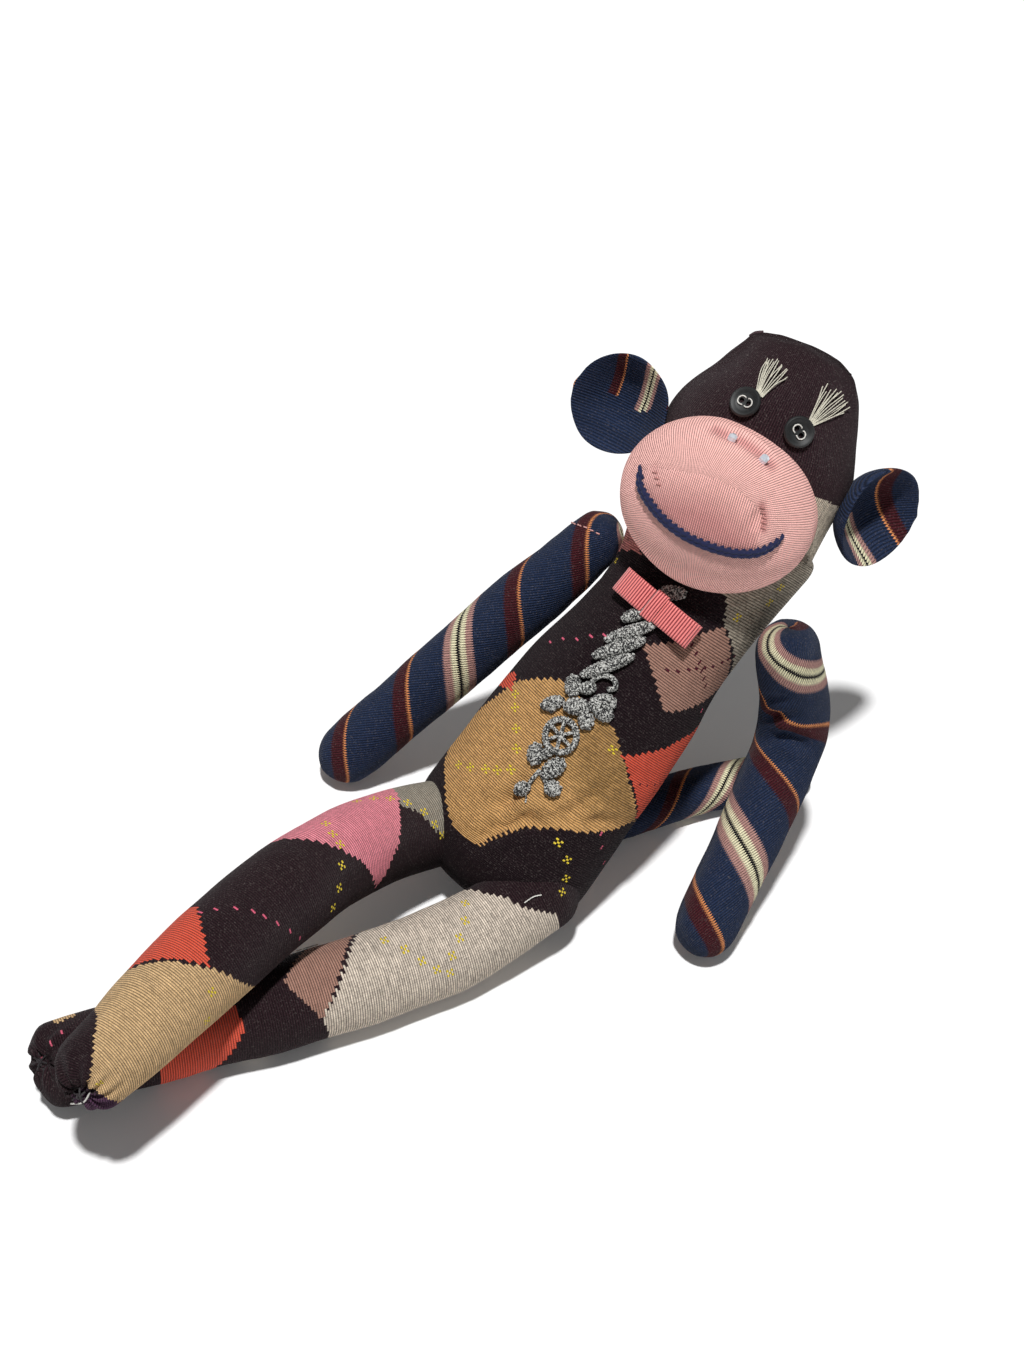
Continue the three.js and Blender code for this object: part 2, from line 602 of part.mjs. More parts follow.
// Eye button: a turned rim round two holes
function buttonSolid() {
  const rim = BUTTON_RADIUS;
  const full = BUTTON_THICKNESS;
  const profile = [[0, 0], [rim * 0.85, 0], [rim, full * 0.3], [rim, full * 0.75], [rim * 0.88, full],
    [rim * 0.74, full * 0.95], [rim * 0.62, full * 0.65], [0, full * 0.6]];
  const lathe = new THREE.LatheGeometry(profile.map(([r, h]) => new THREE.Vector2(r, h)), 16);
  const disc = solidOf(lathe.rotateX(Math.PI / 2));
  const hole = (x) => solidOf(new THREE.CylinderGeometry(BUTTON_HOLE, BUTTON_HOLE, full * 4, 8)
    .rotateX(Math.PI / 2).translate(x, 0, 0));
  return disc.subtract(hole(-BUTTON_HOLE_OFFSET)).subtract(hole(BUTTON_HOLE_OFFSET));
}

// Sewing thread: a stitch that rises through each hole and curls on the button's face
function eyeThreadSolid() {
  const face = BUTTON_THICKNESS * 0.6 + EYE_THREAD + GAP;
  const curl = BUTTON_HOLE_OFFSET / 2;
  const pieces = [-1, 1].flatMap((side) => [
    solidOf(new THREE.CylinderGeometry(EYE_THREAD, EYE_THREAD, face, 5).rotateX(Math.PI / 2)
      .translate(side * BUTTON_HOLE_OFFSET, 0, face / 2)),
    solidOf(new THREE.TorusGeometry(curl + EYE_THREAD / 2, EYE_THREAD, 5, 9)
      .translate(side * (curl + EYE_THREAD / 2), 0, face)),
  ]);
  return join(pieces);
}

// Lash tassel: cut strands fanned out of a knot
function lashSolid() {
  const knot = solidOf(new THREE.SphereGeometry(LASH_KNOT, 6, 5).translate(0, 0, LASH_KNOT));
  const strands = [];
  for (let k = 0; k < LASH_STRANDS; k += 1) {
    const share = k / (LASH_STRANDS - 1) - 0.5;
    const length = LASH_LENGTH * (0.9 + 0.1 * Math.cos(k * 2.4)); // unevenly cut
    const lift = 8 + 4 * (k % 3); // the strands lie over each other in three layers
    const strand = new THREE.CylinderGeometry(LASH_STRAND, LASH_STRAND, length, 3);
    strand.translate(0, length / 2, 0).rotateX(rad(lift)).rotateZ(rad(-LASH_LEAN - share * LASH_FAN));
    strand.translate(0, 0, LASH_KNOT);
    strands.push(solidOf(strand));
  }
  return join([knot, ...strands]);
}

for (const [side, word] of [[-1, 'right'], [1, 'left']]) {
  const eye = onFace(side * EYE_HALF_SPACING, EYE_HEIGHT, headCover);
  add(head, `eye_button_${word}`, buttonSolid(), { colour: 'black', roughness: 0.45, frame: eye, lift: GAP });
  add(head, `eye_thread_${word}`, eyeThreadSolid(), { colour: 'cream', frame: eye, lift: GAP });
  const lashHeight = EYE_HEIGHT + BUTTON_RADIUS + LASH_KNOT + GAP;
  const lash = onFace(side * EYE_HALF_SPACING + LASH_SHIFT, lashHeight, headCover);
  add(head, `lash_tassel_${word}`, lashSolid(), { colour: 'cream', frame: lash, lift: GAP });
  const nostril = onFace(side * NOSTRIL_HALF_SPACING, NOSTRIL_HEIGHT, muzzleCover);
  const bead = solidOf(new THREE.SphereGeometry(NOSTRIL_BEAD, 8, 6));
  const beadLook = { colour: 'glass', roughness: 0.1, frame: nostril, lift: NOSTRIL_BEAD + GAP };
  add(head, `nostril_bead_${word}`, bead, beadLook);
}

// Mouth: one length of yarn laid in a smile over the muzzle
const smile = [];
for (let k = 0; k <= 10; k += 1) {
  const x = MOUTH_HALF_WIDTH * (k / 5 - 1);
  const spot = onFace(x, MOUTH_LOW + MOUTH_RISE * (k / 5 - 1) ** 2, muzzleCover);
  const normal = new THREE.Vector3().setFromMatrixColumn(spot, 2);
  smile.push(new THREE.Vector3().setFromMatrixPosition(spot).addScaledVector(normal, MOUTH_YARN));
}
const yarnSection = new THREE.Shape();
yarnSection.absarc(0, 0, MOUTH_YARN, 0, 2 * Math.PI);
const mouth = new THREE.ExtrudeGeometry(yarnSection, {
  steps: 20, curveSegments: 3, bevelEnabled: false, extrudePath: new THREE.CatmullRomCurve3(smile),
});
add(head, 'mouth_yarn', cut(solidOf(mouth), [solidOf(muzzleForm(GAP))]), { colour: 'blue' });

// Crocheted trim: flat lobes of yarn on the chest, cut to lie on it
const chestRoom = solidOf(torsoForm(GAP));
function onFrame(solid, frame, lift) {
  const matrix = frame.clone().multiply(new THREE.Matrix4().makeTranslation(0, 0, lift));
  return solidOf(geometryOf(solid).applyMatrix4(matrix));
}
function lobe({ x = 0, height, long, wide = long, turn = 0, grow = 0 }) {
  const shape = new THREE.SphereGeometry(1, 8, 5).scale(long + grow, wide + grow, TRIM_THICKNESS + grow);
  return onFrame(solidOf(shape.rotateZ(rad(turn))), onChest(x, height), TRIM_THICKNESS / 3);
}

const ropeLobes = (grow) => Array.from({ length: ROPE_LOBES }, (_, k) => lobe({
  height: ROPE_TOP - k * ROPE_PITCH, long: ROPE_HALF_WIDTH, wide: ROPE_HALF_HEIGHT, turn: ROPE_SLANT, grow,
}));
add(doll, 'trim_rope', cut(join(ropeLobes(0)), [chestRoom]), { colour: 'grey' });

const leaves = [lobe({ height: LEAF_HEIGHT, long: LEAF_HEART })];
for (let k = 0; k < LEAVES; k += 1) {
  const turn = 90 + (k / LEAVES) * 360;
  leaves.push(lobe({
    x: LEAF_REACH * Math.cos(rad(turn)),
    height: LEAF_HEIGHT + LEAF_REACH * Math.sin(rad(turn)),
    long: LEAF_HALF_LENGTH,
    wide: LEAF_HALF_WIDTH,
    turn,
  }));
}
add(doll, 'trim_leaf_cluster', cut(join(leaves), [chestRoom, ...ropeLobes(GAP)]), { colour: 'grey' });

const ringPieces = [solidOf(new THREE.TorusGeometry(RING_RADIUS, RING_YARN, 5, 16))];
for (let k = 0; k < RING_SPOKES / 2; k += 1) {
  const spoke = new THREE.CylinderGeometry(SPOKE_YARN, SPOKE_YARN, RING_RADIUS * 2, 6);
  ringPieces.push(solidOf(spoke.rotateZ((k / RING_SPOKES) * 2 * Math.PI)));
}
const ringSolid = onFrame(join(ringPieces), onChest(0, RING_HEIGHT), RING_YARN);
add(doll, 'trim_ring', cut(ringSolid, [chestRoom]), { colour: 'grey' });

const stalkHeight = (PETAL_HEIGHT + BOBBLE_HEIGHT) / 2;
const petal = (side) => lobe({
  x: side * PETAL_SPREAD, height: PETAL_HEIGHT, long: PETAL_HALF_LENGTH, wide: PETAL_HALF_WIDTH,
  turn: -side * PETAL_SLANT,
});
const bobble = (side, step) => lobe({
  x: side * BOBBLE_SPREAD, height: BOBBLE_HEIGHT + step, long: BOBBLE_RADIUS,
});
const petals = [
  petal(-1),
  petal(1),
  bobble(-1, 0),
  bobble(1, BOBBLE_STEP),
  lobe({ height: stalkHeight, long: PETAL_HALF_LENGTH, wide: STALK_HALF_WIDTH, turn: 90 }),
  lobe({ height: BOBBLE_HEIGHT + BOBBLE_STEP / 2, long: BOBBLE_SPREAD, wide: STALK_HALF_WIDTH / 2 }),
];
add(doll, 'trim_petals', cut(join(petals), [chestRoom]), { colour: 'grey' });

// Bow: one flat band of ribbon with two loops, and a wrap round its pinched middle
function bowOutline(half, end, waist) {
  const outline = new THREE.Shape();
  outline.moveTo(-half + end, -end);
  outline.bezierCurveTo(-half / 2, -end, -WRAP_LENGTH / 2, -waist, 0, -waist);
  outline.bezierCurveTo(WRAP_LENGTH / 2, -waist, half / 2, -end, half - end, -end);
  outline.absarc(half - end, 0, end, -Math.PI / 2, Math.PI / 2);
  outline.bezierCurveTo(half / 2, end, WRAP_LENGTH / 2, waist, 0, waist);
  outline.bezierCurveTo(-WRAP_LENGTH / 2, waist, -half / 2, end, -half + end, end);
  outline.absarc(-half + end, 0, end, Math.PI / 2, (3 * Math.PI) / 2);
  return outline;
}
const band = bowOutline(BOW_HALF_LENGTH, BOW_LOOP / 2, BOW_WAIST / 2);
band.holes.push(bowOutline(BOW_HALF_LENGTH - RIBBON, BOW_LOOP / 2 - RIBBON, BOW_WAIST / 2 - RIBBON));
const bandShape = { depth: RIBBON_WIDTH, curveSegments: 5, bevelEnabled: false };
const ribbonBand = new THREE.ExtrudeGeometry(band, bandShape);
ribbonBand.translate(0, 0, -RIBBON_WIDTH / 2).rotateX(Math.PI / 2);
const wrapWidth = RIBBON_WIDTH + 2 * (RIBBON + GAP);
const wrapBlock = solidOf(new THREE.BoxGeometry(WRAP_LENGTH, wrapWidth, BOW_LOOP));
const wrapInside = new THREE.BoxGeometry(WRAP_LENGTH * 2, wrapWidth - 2 * RIBBON, BOW_LOOP - 2 * RIBBON);
const bowSeat = onChest(0, BOW_HEIGHT).multiply(new THREE.Matrix4().makeRotationZ(rad(BOW_TURN)));
const bowLift = TRIM_THICKNESS * 4 / 3 + GAP + BOW_LOOP / 2; // the bow lies over the rope's top
const bowLook = { colour: 'coral', roughness: 0.6, frame: bowSeat, lift: bowLift };
add(doll, 'bow_loops', solidOf(ribbonBand), bowLook);
add(doll, 'bow_wrap', wrapBlock.subtract(solidOf(wrapInside)), bowLook);

// Gathering threads that close the feet: a coil with a knot in it, seated on each toe
function gather(name, leg) {
  const { position } = leg.form().attributes;
  const toe = new THREE.Vector3().fromBufferAttribute(position, position.count - 1);
  const way = toe.clone().sub(leg.root).normalize();
  const turn = new THREE.Quaternion().setFromUnitVectors(Z, way);
  const frame = new THREE.Matrix4().makeRotationFromQuaternion(turn).setPosition(toe);
  const coil = solidOf(new THREE.TorusGeometry(GATHER_RADIUS, GATHER_THREAD, 5, 10));
  const knot = solidOf(new THREE.SphereGeometry(GATHER_KNOT, 6, 5));
  const look = { colour: 'thread', frame, lift: GATHER_KNOT + GAP };
  add(bodies[name], `foot_gather_${name.slice(4)}`, coil.add(knot), look);
}
gather('leg_right', legRight);
gather('leg_left', legLeft);

// The origin is the middle of the doll's footprint, on the floor
doll.updateMatrixWorld(true);
const middle = new THREE.Box3().setFromObject(doll).getCenter(at(0, 0, 0));
doll.position.set(-middle.x, -middle.y, 0);
doll.updateMatrixWorld(true);

export default doll;
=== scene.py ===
# %% [markdown]
# # A sock monkey, dressed in Blender
# The doll is sewn from two pairs of socks. An argyle pair gives the body and the legs, a striped pair gives
# the arms, the tail and the ears, and a plain toe and heel give the head and the muzzle. The CAD model says
# where each stuffed piece lies and how it turns, and this script gives each piece its knitted skin.

# %% Load the frame
import bmesh
import bpy
import json
import math
import numpy as np
from mathutils import Matrix, Vector, noise
from mathutils.bvhtree import BVHTree


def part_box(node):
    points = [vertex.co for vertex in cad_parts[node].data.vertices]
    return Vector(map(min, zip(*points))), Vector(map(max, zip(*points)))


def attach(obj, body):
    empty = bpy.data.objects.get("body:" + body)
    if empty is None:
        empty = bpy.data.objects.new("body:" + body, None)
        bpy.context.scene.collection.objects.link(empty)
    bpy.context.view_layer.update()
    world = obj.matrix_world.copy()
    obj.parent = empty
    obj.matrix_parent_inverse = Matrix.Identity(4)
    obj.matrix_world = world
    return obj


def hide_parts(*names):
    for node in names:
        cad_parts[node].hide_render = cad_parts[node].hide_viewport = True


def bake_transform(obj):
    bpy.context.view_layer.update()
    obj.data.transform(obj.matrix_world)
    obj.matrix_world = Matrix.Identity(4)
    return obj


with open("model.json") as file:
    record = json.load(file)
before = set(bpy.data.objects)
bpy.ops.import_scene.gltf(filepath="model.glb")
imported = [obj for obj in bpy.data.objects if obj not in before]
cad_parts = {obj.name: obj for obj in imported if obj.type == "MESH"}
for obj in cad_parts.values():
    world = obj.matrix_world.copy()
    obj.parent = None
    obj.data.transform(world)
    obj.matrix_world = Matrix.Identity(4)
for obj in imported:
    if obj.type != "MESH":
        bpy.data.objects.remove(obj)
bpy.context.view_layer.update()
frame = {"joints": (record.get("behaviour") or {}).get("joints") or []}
MM = 0.001
JOINT = {joint["name"]: Vector(joint["pos_m"]) for joint in frame["joints"]}

# %% [markdown]
# ## Meshes and objects
# bmesh builds each new mesh, and numpy reads a mesh's values in one step. A few short functions keep both out
# of the way of the steps below.

# %% Meshes and objects
def linked(name, data):
    """A new object in the scene."""
    made = bpy.data.objects.new(name, data)
    bpy.context.scene.collection.objects.link(made)
    return made


def mesh_of(bm, name):
    """A new mesh from a bmesh, which is freed."""
    mesh = bpy.data.meshes.new(name)
    bm.to_mesh(mesh)
    bm.free()
    return mesh


def read(items, what, width=1, kind=float):
    """A value, or a row of width values, for each item of a mesh's list."""
    values = np.zeros(len(items) * width, kind)
    items.foreach_get(what, values)
    return values if width == 1 else values.reshape(-1, width)


def evaluated(piece):
    """A piece as its modifiers leave it."""
    return piece.evaluated_get(bpy.context.evaluated_depsgraph_get())


def placed(place, x, y, z):
    """The matrix of a thing at a place, whose axes point the ways x, y and z."""
    return Matrix.Translation(place) @ Matrix((x, y, z)).transposed().to_4x4()


# %% [markdown]
# ## Camera
# The photograph looks down on the doll from its front left, with a slight roll. Its frame is 1024 by 1365
# pixels, and the lens is given by its focal length in those pixels. The aim point is counted from the neck,
# so that the view stays on the doll. A ray through any pixel is worked out from the same numbers, and later
# cells use it to find a place on the doll that the photograph shows.

# %% Camera
IMAGE_WIDTH, IMAGE_HEIGHT = 1024, 1365
FOCAL_PIXELS = 2518.5
CAMERA_DISTANCE = 0.9785
ELEVATION, AZIMUTH, ROLL = 0.830, 0.664, 0.098
neck = JOINT["neck"]
aim = Vector((neck.x - 45.6 * MM, neck.y - 63.3 * MM, 50 * MM))

back = Vector((math.sin(AZIMUTH) * math.cos(ELEVATION), -math.cos(AZIMUTH) * math.cos(ELEVATION),
               math.sin(ELEVATION)))
level = Vector((math.cos(AZIMUTH), math.sin(AZIMUTH), 0))
rise = back.cross(level)
right = level * math.cos(ROLL) + rise * math.sin(ROLL)
up = rise * math.cos(ROLL) - level * math.sin(ROLL)
eye = aim + back * CAMERA_DISTANCE

lens = bpy.data.cameras.new("photo_camera")
lens.sensor_fit = "VERTICAL"
lens.sensor_height = 36
lens.lens = FOCAL_PIXELS / IMAGE_HEIGHT * lens.sensor_height
lens.clip_start = 0.01
camera = linked("photo_camera", lens)
camera.matrix_world = placed(eye, right, up, back)
bpy.context.scene.camera = camera
print("lens", round(lens.lens, 1), "mm")


def pixel_ray(x, y):
    """The way from the camera through a pixel of the photograph."""
    across = (x - IMAGE_WIDTH / 2) / FOCAL_PIXELS
    down = (y - IMAGE_HEIGHT / 2) / FOCAL_PIXELS
    return (right * across - up * down - back).normalized()


def pixels_of(places):
    """The pixels of the photograph at which places show."""
    offset = np.asarray(places) - np.array(eye)
    deep = -offset @ np.array(back)
    return np.stack([IMAGE_WIDTH / 2 + FOCAL_PIXELS * (offset @ np.array(right)) / deep,
                     IMAGE_HEIGHT / 2 - FOCAL_PIXELS * (offset @ np.array(up)) / deep], 1)


def inside(spots, corners):
    """Which of the spots lie inside a polygon of corners."""
    x, y = spots[:, 0], spots[:, 1]
    found = np.zeros(len(x), bool)
    for (x0, y0), (x1, y1) in zip(corners, corners[1:] + corners[:1]):
        if y0 != y1:
            found ^= ((y0 > y) != (y1 > y)) & (x < (x1 - x0) * (y - y0) / (y1 - y0) + x0)
    return found


# %% [markdown]
# ## Colours and nodes
# Yarn colours are read off the photograph as sRGB hex values, and a shader wants them linear. One function
# adds a node with its settings and its links, so that each material reads as a short list.

# %% Colours and nodes
def linear(hex_colour, alpha=1.0):
    """An sRGB hex colour as linear red, green, blue and alpha."""
    channels = [int(hex_colour[k:k + 2], 16) / 255 for k in (1, 3, 5)]
    return [c / 12.92 if c <= 0.04045 else ((c + 0.055) / 1.055) ** 2.4 for c in channels] + [alpha]


def node(tree, kind, inputs=None, **settings):
    """Adds a node. An input is a value, another node's output, or a node, which gives its first output."""
    made = tree.nodes.new(kind)
    for name, value in settings.items():
        setattr(made, name, value)
    for name, value in (inputs or {}).items():
        socket = made.inputs[name]
        if isinstance(value, bpy.types.Node):
            value = value.outputs[0]
        if isinstance(value, bpy.types.NodeSocket):
            tree.links.new(value, socket)
        else:
            socket.default_value = value
    return made


def material(name):
    """An empty node material with a Principled shader, and the shader."""
    made = bpy.data.materials.new(name)
    made.use_nodes = True
    return made, made.node_tree, made.node_tree.nodes["Principled BSDF"]


def dress(tree, shader, colour, height=None, depth=0.0, strength=1.0, **numbers):
    """Links a colour to a shader, and a height as bumps with a depth in millimetres. The numbers are for its
    other sockets, whose names have a low line for each space."""
    tree.links.new(colour, shader.inputs["Base Color"])
    if height is not None:
        relief = node(tree, "ShaderNodeBump", {"Height": height, "Distance": depth * MM, "Strength": strength})
        tree.links.new(relief.outputs[0], shader.inputs["Normal"])
    for name, value in numbers.items():
        shader.inputs[name.replace("_", " ")].default_value = value


def arches(tree, value, length=1.0):
    """A row of round arches along a value, each as long as length."""
    turn = node(tree, "ShaderNodeMath", {0: value, 1: math.pi / length}, operation="MULTIPLY")
    sine = node(tree, "ShaderNodeMath", {0: turn}, operation="SINE")
    return node(tree, "ShaderNodeMath", {0: sine}, operation="ABSOLUTE")


# %% [markdown]
# ## Floor and light
# The doll reclines on a white surface under a lamp almost overhead, so its shadows are short and dark. A
# small sun gives them a nearly crisp edge, and a dim pale sky fills them. The floor is lifted to white only
# for the camera, so that it adds no light to the doll.

# %% Floor and light
scene = bpy.context.scene
scene.view_settings.view_transform = "Standard"

FLOOR_HALF = 4  # metres
FLOOR_GREY, FLOOR_LIFT = 0.88, 0.05
SUN_STRENGTH, SUN_ANGLE = 3.35, 4  # the angle in degrees
SKY_STRENGTH = 0.15
bm = bmesh.new()
bmesh.ops.create_grid(bm, x_segments=2, y_segments=2, size=FLOOR_HALF)
floor_mesh = mesh_of(bm, "floor")
floor = linked("floor", floor_mesh)

paper, tree, shader = material("white_paper_floor")
rays = node(tree, "ShaderNodeLightPath")
seen = node(tree, "ShaderNodeMath", {0: rays.outputs["Is Camera Ray"], 1: rays.outputs["Is Glossy Ray"]},
            operation="MAXIMUM")
lift = node(tree, "ShaderNodeMath", {0: seen, 1: FLOOR_LIFT}, operation="MULTIPLY")
shader.inputs["Base Color"].default_value = (FLOOR_GREY, FLOOR_GREY, FLOOR_GREY, 1)
shader.inputs["Roughness"].default_value = 0.9
shader.inputs["Emission Color"].default_value = (1, 1, 1, 1)
tree.links.new(lift.outputs[0], shader.inputs["Emission Strength"])
floor_mesh.materials.append(paper)

KEY_FROM = Vector((0.07, -0.15, 1.0))
key_data = bpy.data.lights.new("key_sun", "SUN")
key_data.energy, key_data.angle = SUN_STRENGTH, math.radians(SUN_ANGLE)
key = linked("key_sun", key_data)
key.rotation_euler = KEY_FROM.to_track_quat("Z", "Y").to_euler()

world = bpy.data.worlds.new("pale_studio")
world.use_nodes = True
sky = world.node_tree.nodes["Background"]
sky.inputs["Color"].default_value, sky.inputs["Strength"].default_value = (1, 1, 1, 1), SKY_STRENGTH
scene.world = world
print("key light from", [round(x, 2) for x in KEY_FROM])

# %% [markdown]
# ## A knitted tube, stuffed
# Every limb is a tube of knitting, sewn shut at both ends. A grid with one face for each stitch is rolled
# round a route: its columns run round the limb and its rows along it. Half widths and half depths, in
# millimetres, say how the limb swells and tapers, and a round cap closes each end. Each face keeps its place
# in the knitting, which is what a stitch chart needs, and a UV map counts the same stitches.

# %% Knitted tube
WALE, COURSE = 1.0 * MM, 0.9 * MM  # a stitch, drawn a little coarser than sock knit so that it shows


def curve_through(points, count=240):
    """Places and ways at equal steps along a smooth curve through the points."""
    p = np.array([list(q) for q in points], float)
    if len(p) == 2:
        fine = p[0] + (p[1] - p[0]) * np.linspace(0, 1, 200)[:, None]
    else:
        ends = np.vstack([2 * p[0] - p[1], p, 2 * p[-1] - p[-2]])
        parts = []
        for k in range(1, len(ends) - 2):
            a, b, c, d = ends[k - 1:k + 3]
            t = np.linspace(0, 1, 80)[:, None]
            parts.append(0.5 * (2 * b + (c - a) * t + (2 * a - 5 * b + 4 * c - d) * t ** 2
                                + (3 * b - a - 3 * c + d) * t ** 3))
        fine = np.vstack(parts)
    steps = np.linalg.norm(np.diff(fine, axis=0), axis=1)
    keep = np.r_[True, steps > 1e-9]
    fine, run = fine[keep], np.r_[0, np.cumsum(steps[steps > 1e-9])]
    share = np.linspace(0, 1, count)
    places = np.stack([np.interp(share * run[-1], run, fine[:, k]) for k in range(3)], 1)
    ways = np.gradient(places, axis=0)
    return places, ways / np.linalg.norm(ways, axis=1)[:, None], run[-1]


def swell(stations, t):
    """Half widths and half depths at shares of a length, on a smooth line through the stations."""
    at, wide, deep = (np.array(column, float) for column in zip(*stations))
    low = np.clip(np.searchsorted(at, t, side="right") - 1, 0, len(at) - 2)
    step = at[low + 1] - at[low]
    share = np.clip((t - at[low]) / step, 0, 1)
    eased = share * share * (3 - 2 * share)
    sizes = []
    for size in (wide, deep):
        slope = np.gradient(size, at)
        sizes.append((size[low] * (1 - eased) + size[low + 1] * eased
                      + step * share * (1 - share) * (slope[low] * (1 - share) - slope[low + 1] * share)) * MM)
    return sizes


def evenly(wide, deep=None):
    """Stations at equal steps."""
    deep = deep or wide
    return [(k / (len(wide) - 1), wide[k], deep[k]) for k in range(len(wide))]


def grid_mesh(name, columns, rows):
    """A grid as a mesh, and each vertex's shares u and v of its width and its length."""
    bm = bmesh.new()
    bmesh.ops.create_grid(bm, x_segments=columns, y_segments=rows, size=0.5)
    mesh = mesh_of(bm, name)
    flat = read(mesh.vertices, "co", 3)
    return mesh, flat[:, 0] + 0.5, flat[:, 1] + 0.5


def count_out(mesh, layer, across, along, turned):
    """A UV map from two numbers for each vertex. turned swaps the two."""
    loops = read(mesh.loops, "vertex_index", kind=int)
    counted = [across[loops], along[loops]]
    mesh.uv_layers.new(name=layer).data.foreach_set(
        "uv", np.stack(counted[::-1] if turned else counted, 1).ravel())


def knitted_tube(name, route, stations, side, caps, seam=0.5, sideways=False):
    """A closed tube with one face for each stitch. seam is the share of a turn at which the seam runs, and
    sideways says that the fine lines of the knitting run round the tube."""
    places, ways, length = curve_through(route)
    girth = math.pi * max(wide + deep for _, wide, deep in stations) * MM
    start, end = caps[0] * MM, caps[1] * MM
    arcs = [math.pi / 4 * (start + stations[0][1] * MM), length, math.pi / 4 * (end + stations[-1][1] * MM)]
    wales, courses = round(girth / WALE), round(sum(arcs) / COURSE)

    mesh, u, v = grid_mesh(name, wales, courses)
    count_out(mesh, "stitches", u * wales, v * courses, sideways)
    loops = read(mesh.loops, "vertex_index", kind=int)
    middles = np.stack([u, v], 1)[loops].reshape(-1, 4, 2).mean(axis=1)
    for key_name, values in (("wale", middles[:, 0] * wales), ("course", middles[:, 1] * courses)):
        mesh.attributes.new(key_name, "FLOAT", "FACE").data.foreach_set("value", values)

    run = v * sum(arcs)
    t = np.clip((run - arcs[0]) / length, 0, 1)
    before = np.clip(1 - run / arcs[0], 0, 1) * math.pi / 2
    after = np.clip((run - arcs[0] - length) / arcs[2], 0, 1) * math.pi / 2
    share = np.cos(before) * np.cos(after)
    shift = end * np.sin(after) - start * np.sin(before)
    at = t * (len(places) - 1)
    centre = np.stack([np.interp(at, np.arange(len(places)), places[:, k]) for k in range(3)], 1)
    way = np.stack([np.interp(at, np.arange(len(ways)), ways[:, k]) for k in range(3)], 1)
    way /= np.linalg.norm(way, axis=1)[:, None]
    out = np.cross(way, np.array(side, float))
    out /= np.linalg.norm(out, axis=1)[:, None]
    across = np.cross(out, way)
    angle = (u + seam) * 2 * math.pi + math.pi / 2
    wide, deep = swell(stations, t)
    co = (centre + way * shift[:, None] + across * (wide * share * np.cos(angle))[:, None]
          + out * (deep * share * np.sin(angle))[:, None])
    mesh.vertices.foreach_set("co", co.ravel())

    bm = bmesh.new()
    bm.from_mesh(mesh)
    bmesh.ops.remove_doubles(bm, verts=bm.verts, dist=1e-6)
    if bm.calc_volume(signed=True) < 0:
        bmesh.ops.reverse_faces(bm, faces=bm.faces)
    bm.to_mesh(mesh)
    bm.free()
    mesh.shade_smooth()
    piece = linked(name, mesh)
    piece["wales"] = wales
    print(name, wales, "wales", courses, "courses")
    return piece


def points_of(piece):
    """A piece's vertex places, and the ways out of its surface there."""
    return read(piece.data.vertices, "co", 3), read(piece.data.vertices, "normal", 3)


def move_points(piece, co):
    """Sets vertex places, with nothing below the floor."""
    co[:, 2] = np.maximum(co[:, 2], 0.15 * MM)
    piece.data.vertices.foreach_set("co", co.ravel())
    piece.data.update()


# %% [markdown]
# ## Stuffing
# A sock that is filled with fibre is tight, and it swells between the places that hold it. A coarse copy of
# the piece is blown up by Blender's cloth with air pressure, and the knitted grid is then laid over the
# swollen copy. The grid keeps its stitches, which a remeshed piece would lose.

# %% Stuffing
def stuff(piece, voxel=4.0, pressure=40.0, most=2.5):
    """Swells a piece by a cloth simulation on a coarse copy. Sizes are in millimetres."""
    soft = linked(piece.name + "_soft", piece.data.copy())
    remesh = soft.modifiers.new("remesh", "REMESH")
    remesh.mode, remesh.voxel_size = "VOXEL", voxel * MM
    coarse = bpy.data.meshes.new_from_object(evaluated(soft))
    soft.modifiers.clear()
    soft.data = coarse
    rest, _ = points_of(soft)
    cloth = soft.modifiers.new("cloth", "CLOTH")
    cloth.settings.use_pressure = True
    cloth.settings.uniform_pressure_force = pressure
    cloth.settings.effector_weights.gravity = 0
    cloth.settings.tension_stiffness = cloth.settings.compression_stiffness = 8
    for number in range(1, 21):
        scene.frame_set(number)
    shift = read(evaluated(soft).data.vertices, "co", 3) - rest
    size = np.linalg.norm(shift, axis=1)
    shift *= np.minimum(1, most * MM / np.maximum(size, 1e-9))[:, None]
    soft.modifiers.clear()
    move_points(soft, rest + shift)
    smooth = soft.modifiers.new("smooth", "SUBSURF")
    smooth.levels = smooth.render_levels = 1
    wrap = piece.modifiers.new("wrap", "SHRINKWRAP")
    wrap.target, wrap.wrap_method = soft, "PROJECT"
    wrap.use_negative_direction = wrap.use_positive_direction = True
    wrap.project_limit = 2 * most * MM
    co = read(evaluated(piece).data.vertices, "co", 3)
    piece.modifiers.clear()
    move_points(piece, co)
    bpy.data.objects.remove(soft)
    scene.frame_set(1)
    print(piece.name, "swelled by", round(float(size.max() / MM), 1), "mm at most")


# %% [markdown]
# ## Reading a place off the photograph
# A fold, a diamond's corner or a cross stitch is placed by its pixel in the photograph. A ray from the
# camera through that pixel meets the piece in one stitch, so the place is on the piece, seen from any side.
# Past the piece's edge, a number of stitches further round can be added.

# %% Places on a piece
SEARCH_STEP = 3 * MM
trees = {}


def settle(piece):
    """Makes a piece ready to be met by rays, once its shape is final."""
    bm = bmesh.new()
    bm.from_mesh(piece.data)
    trees[piece.name] = BVHTree.FromBMesh(bm)
    bm.free()


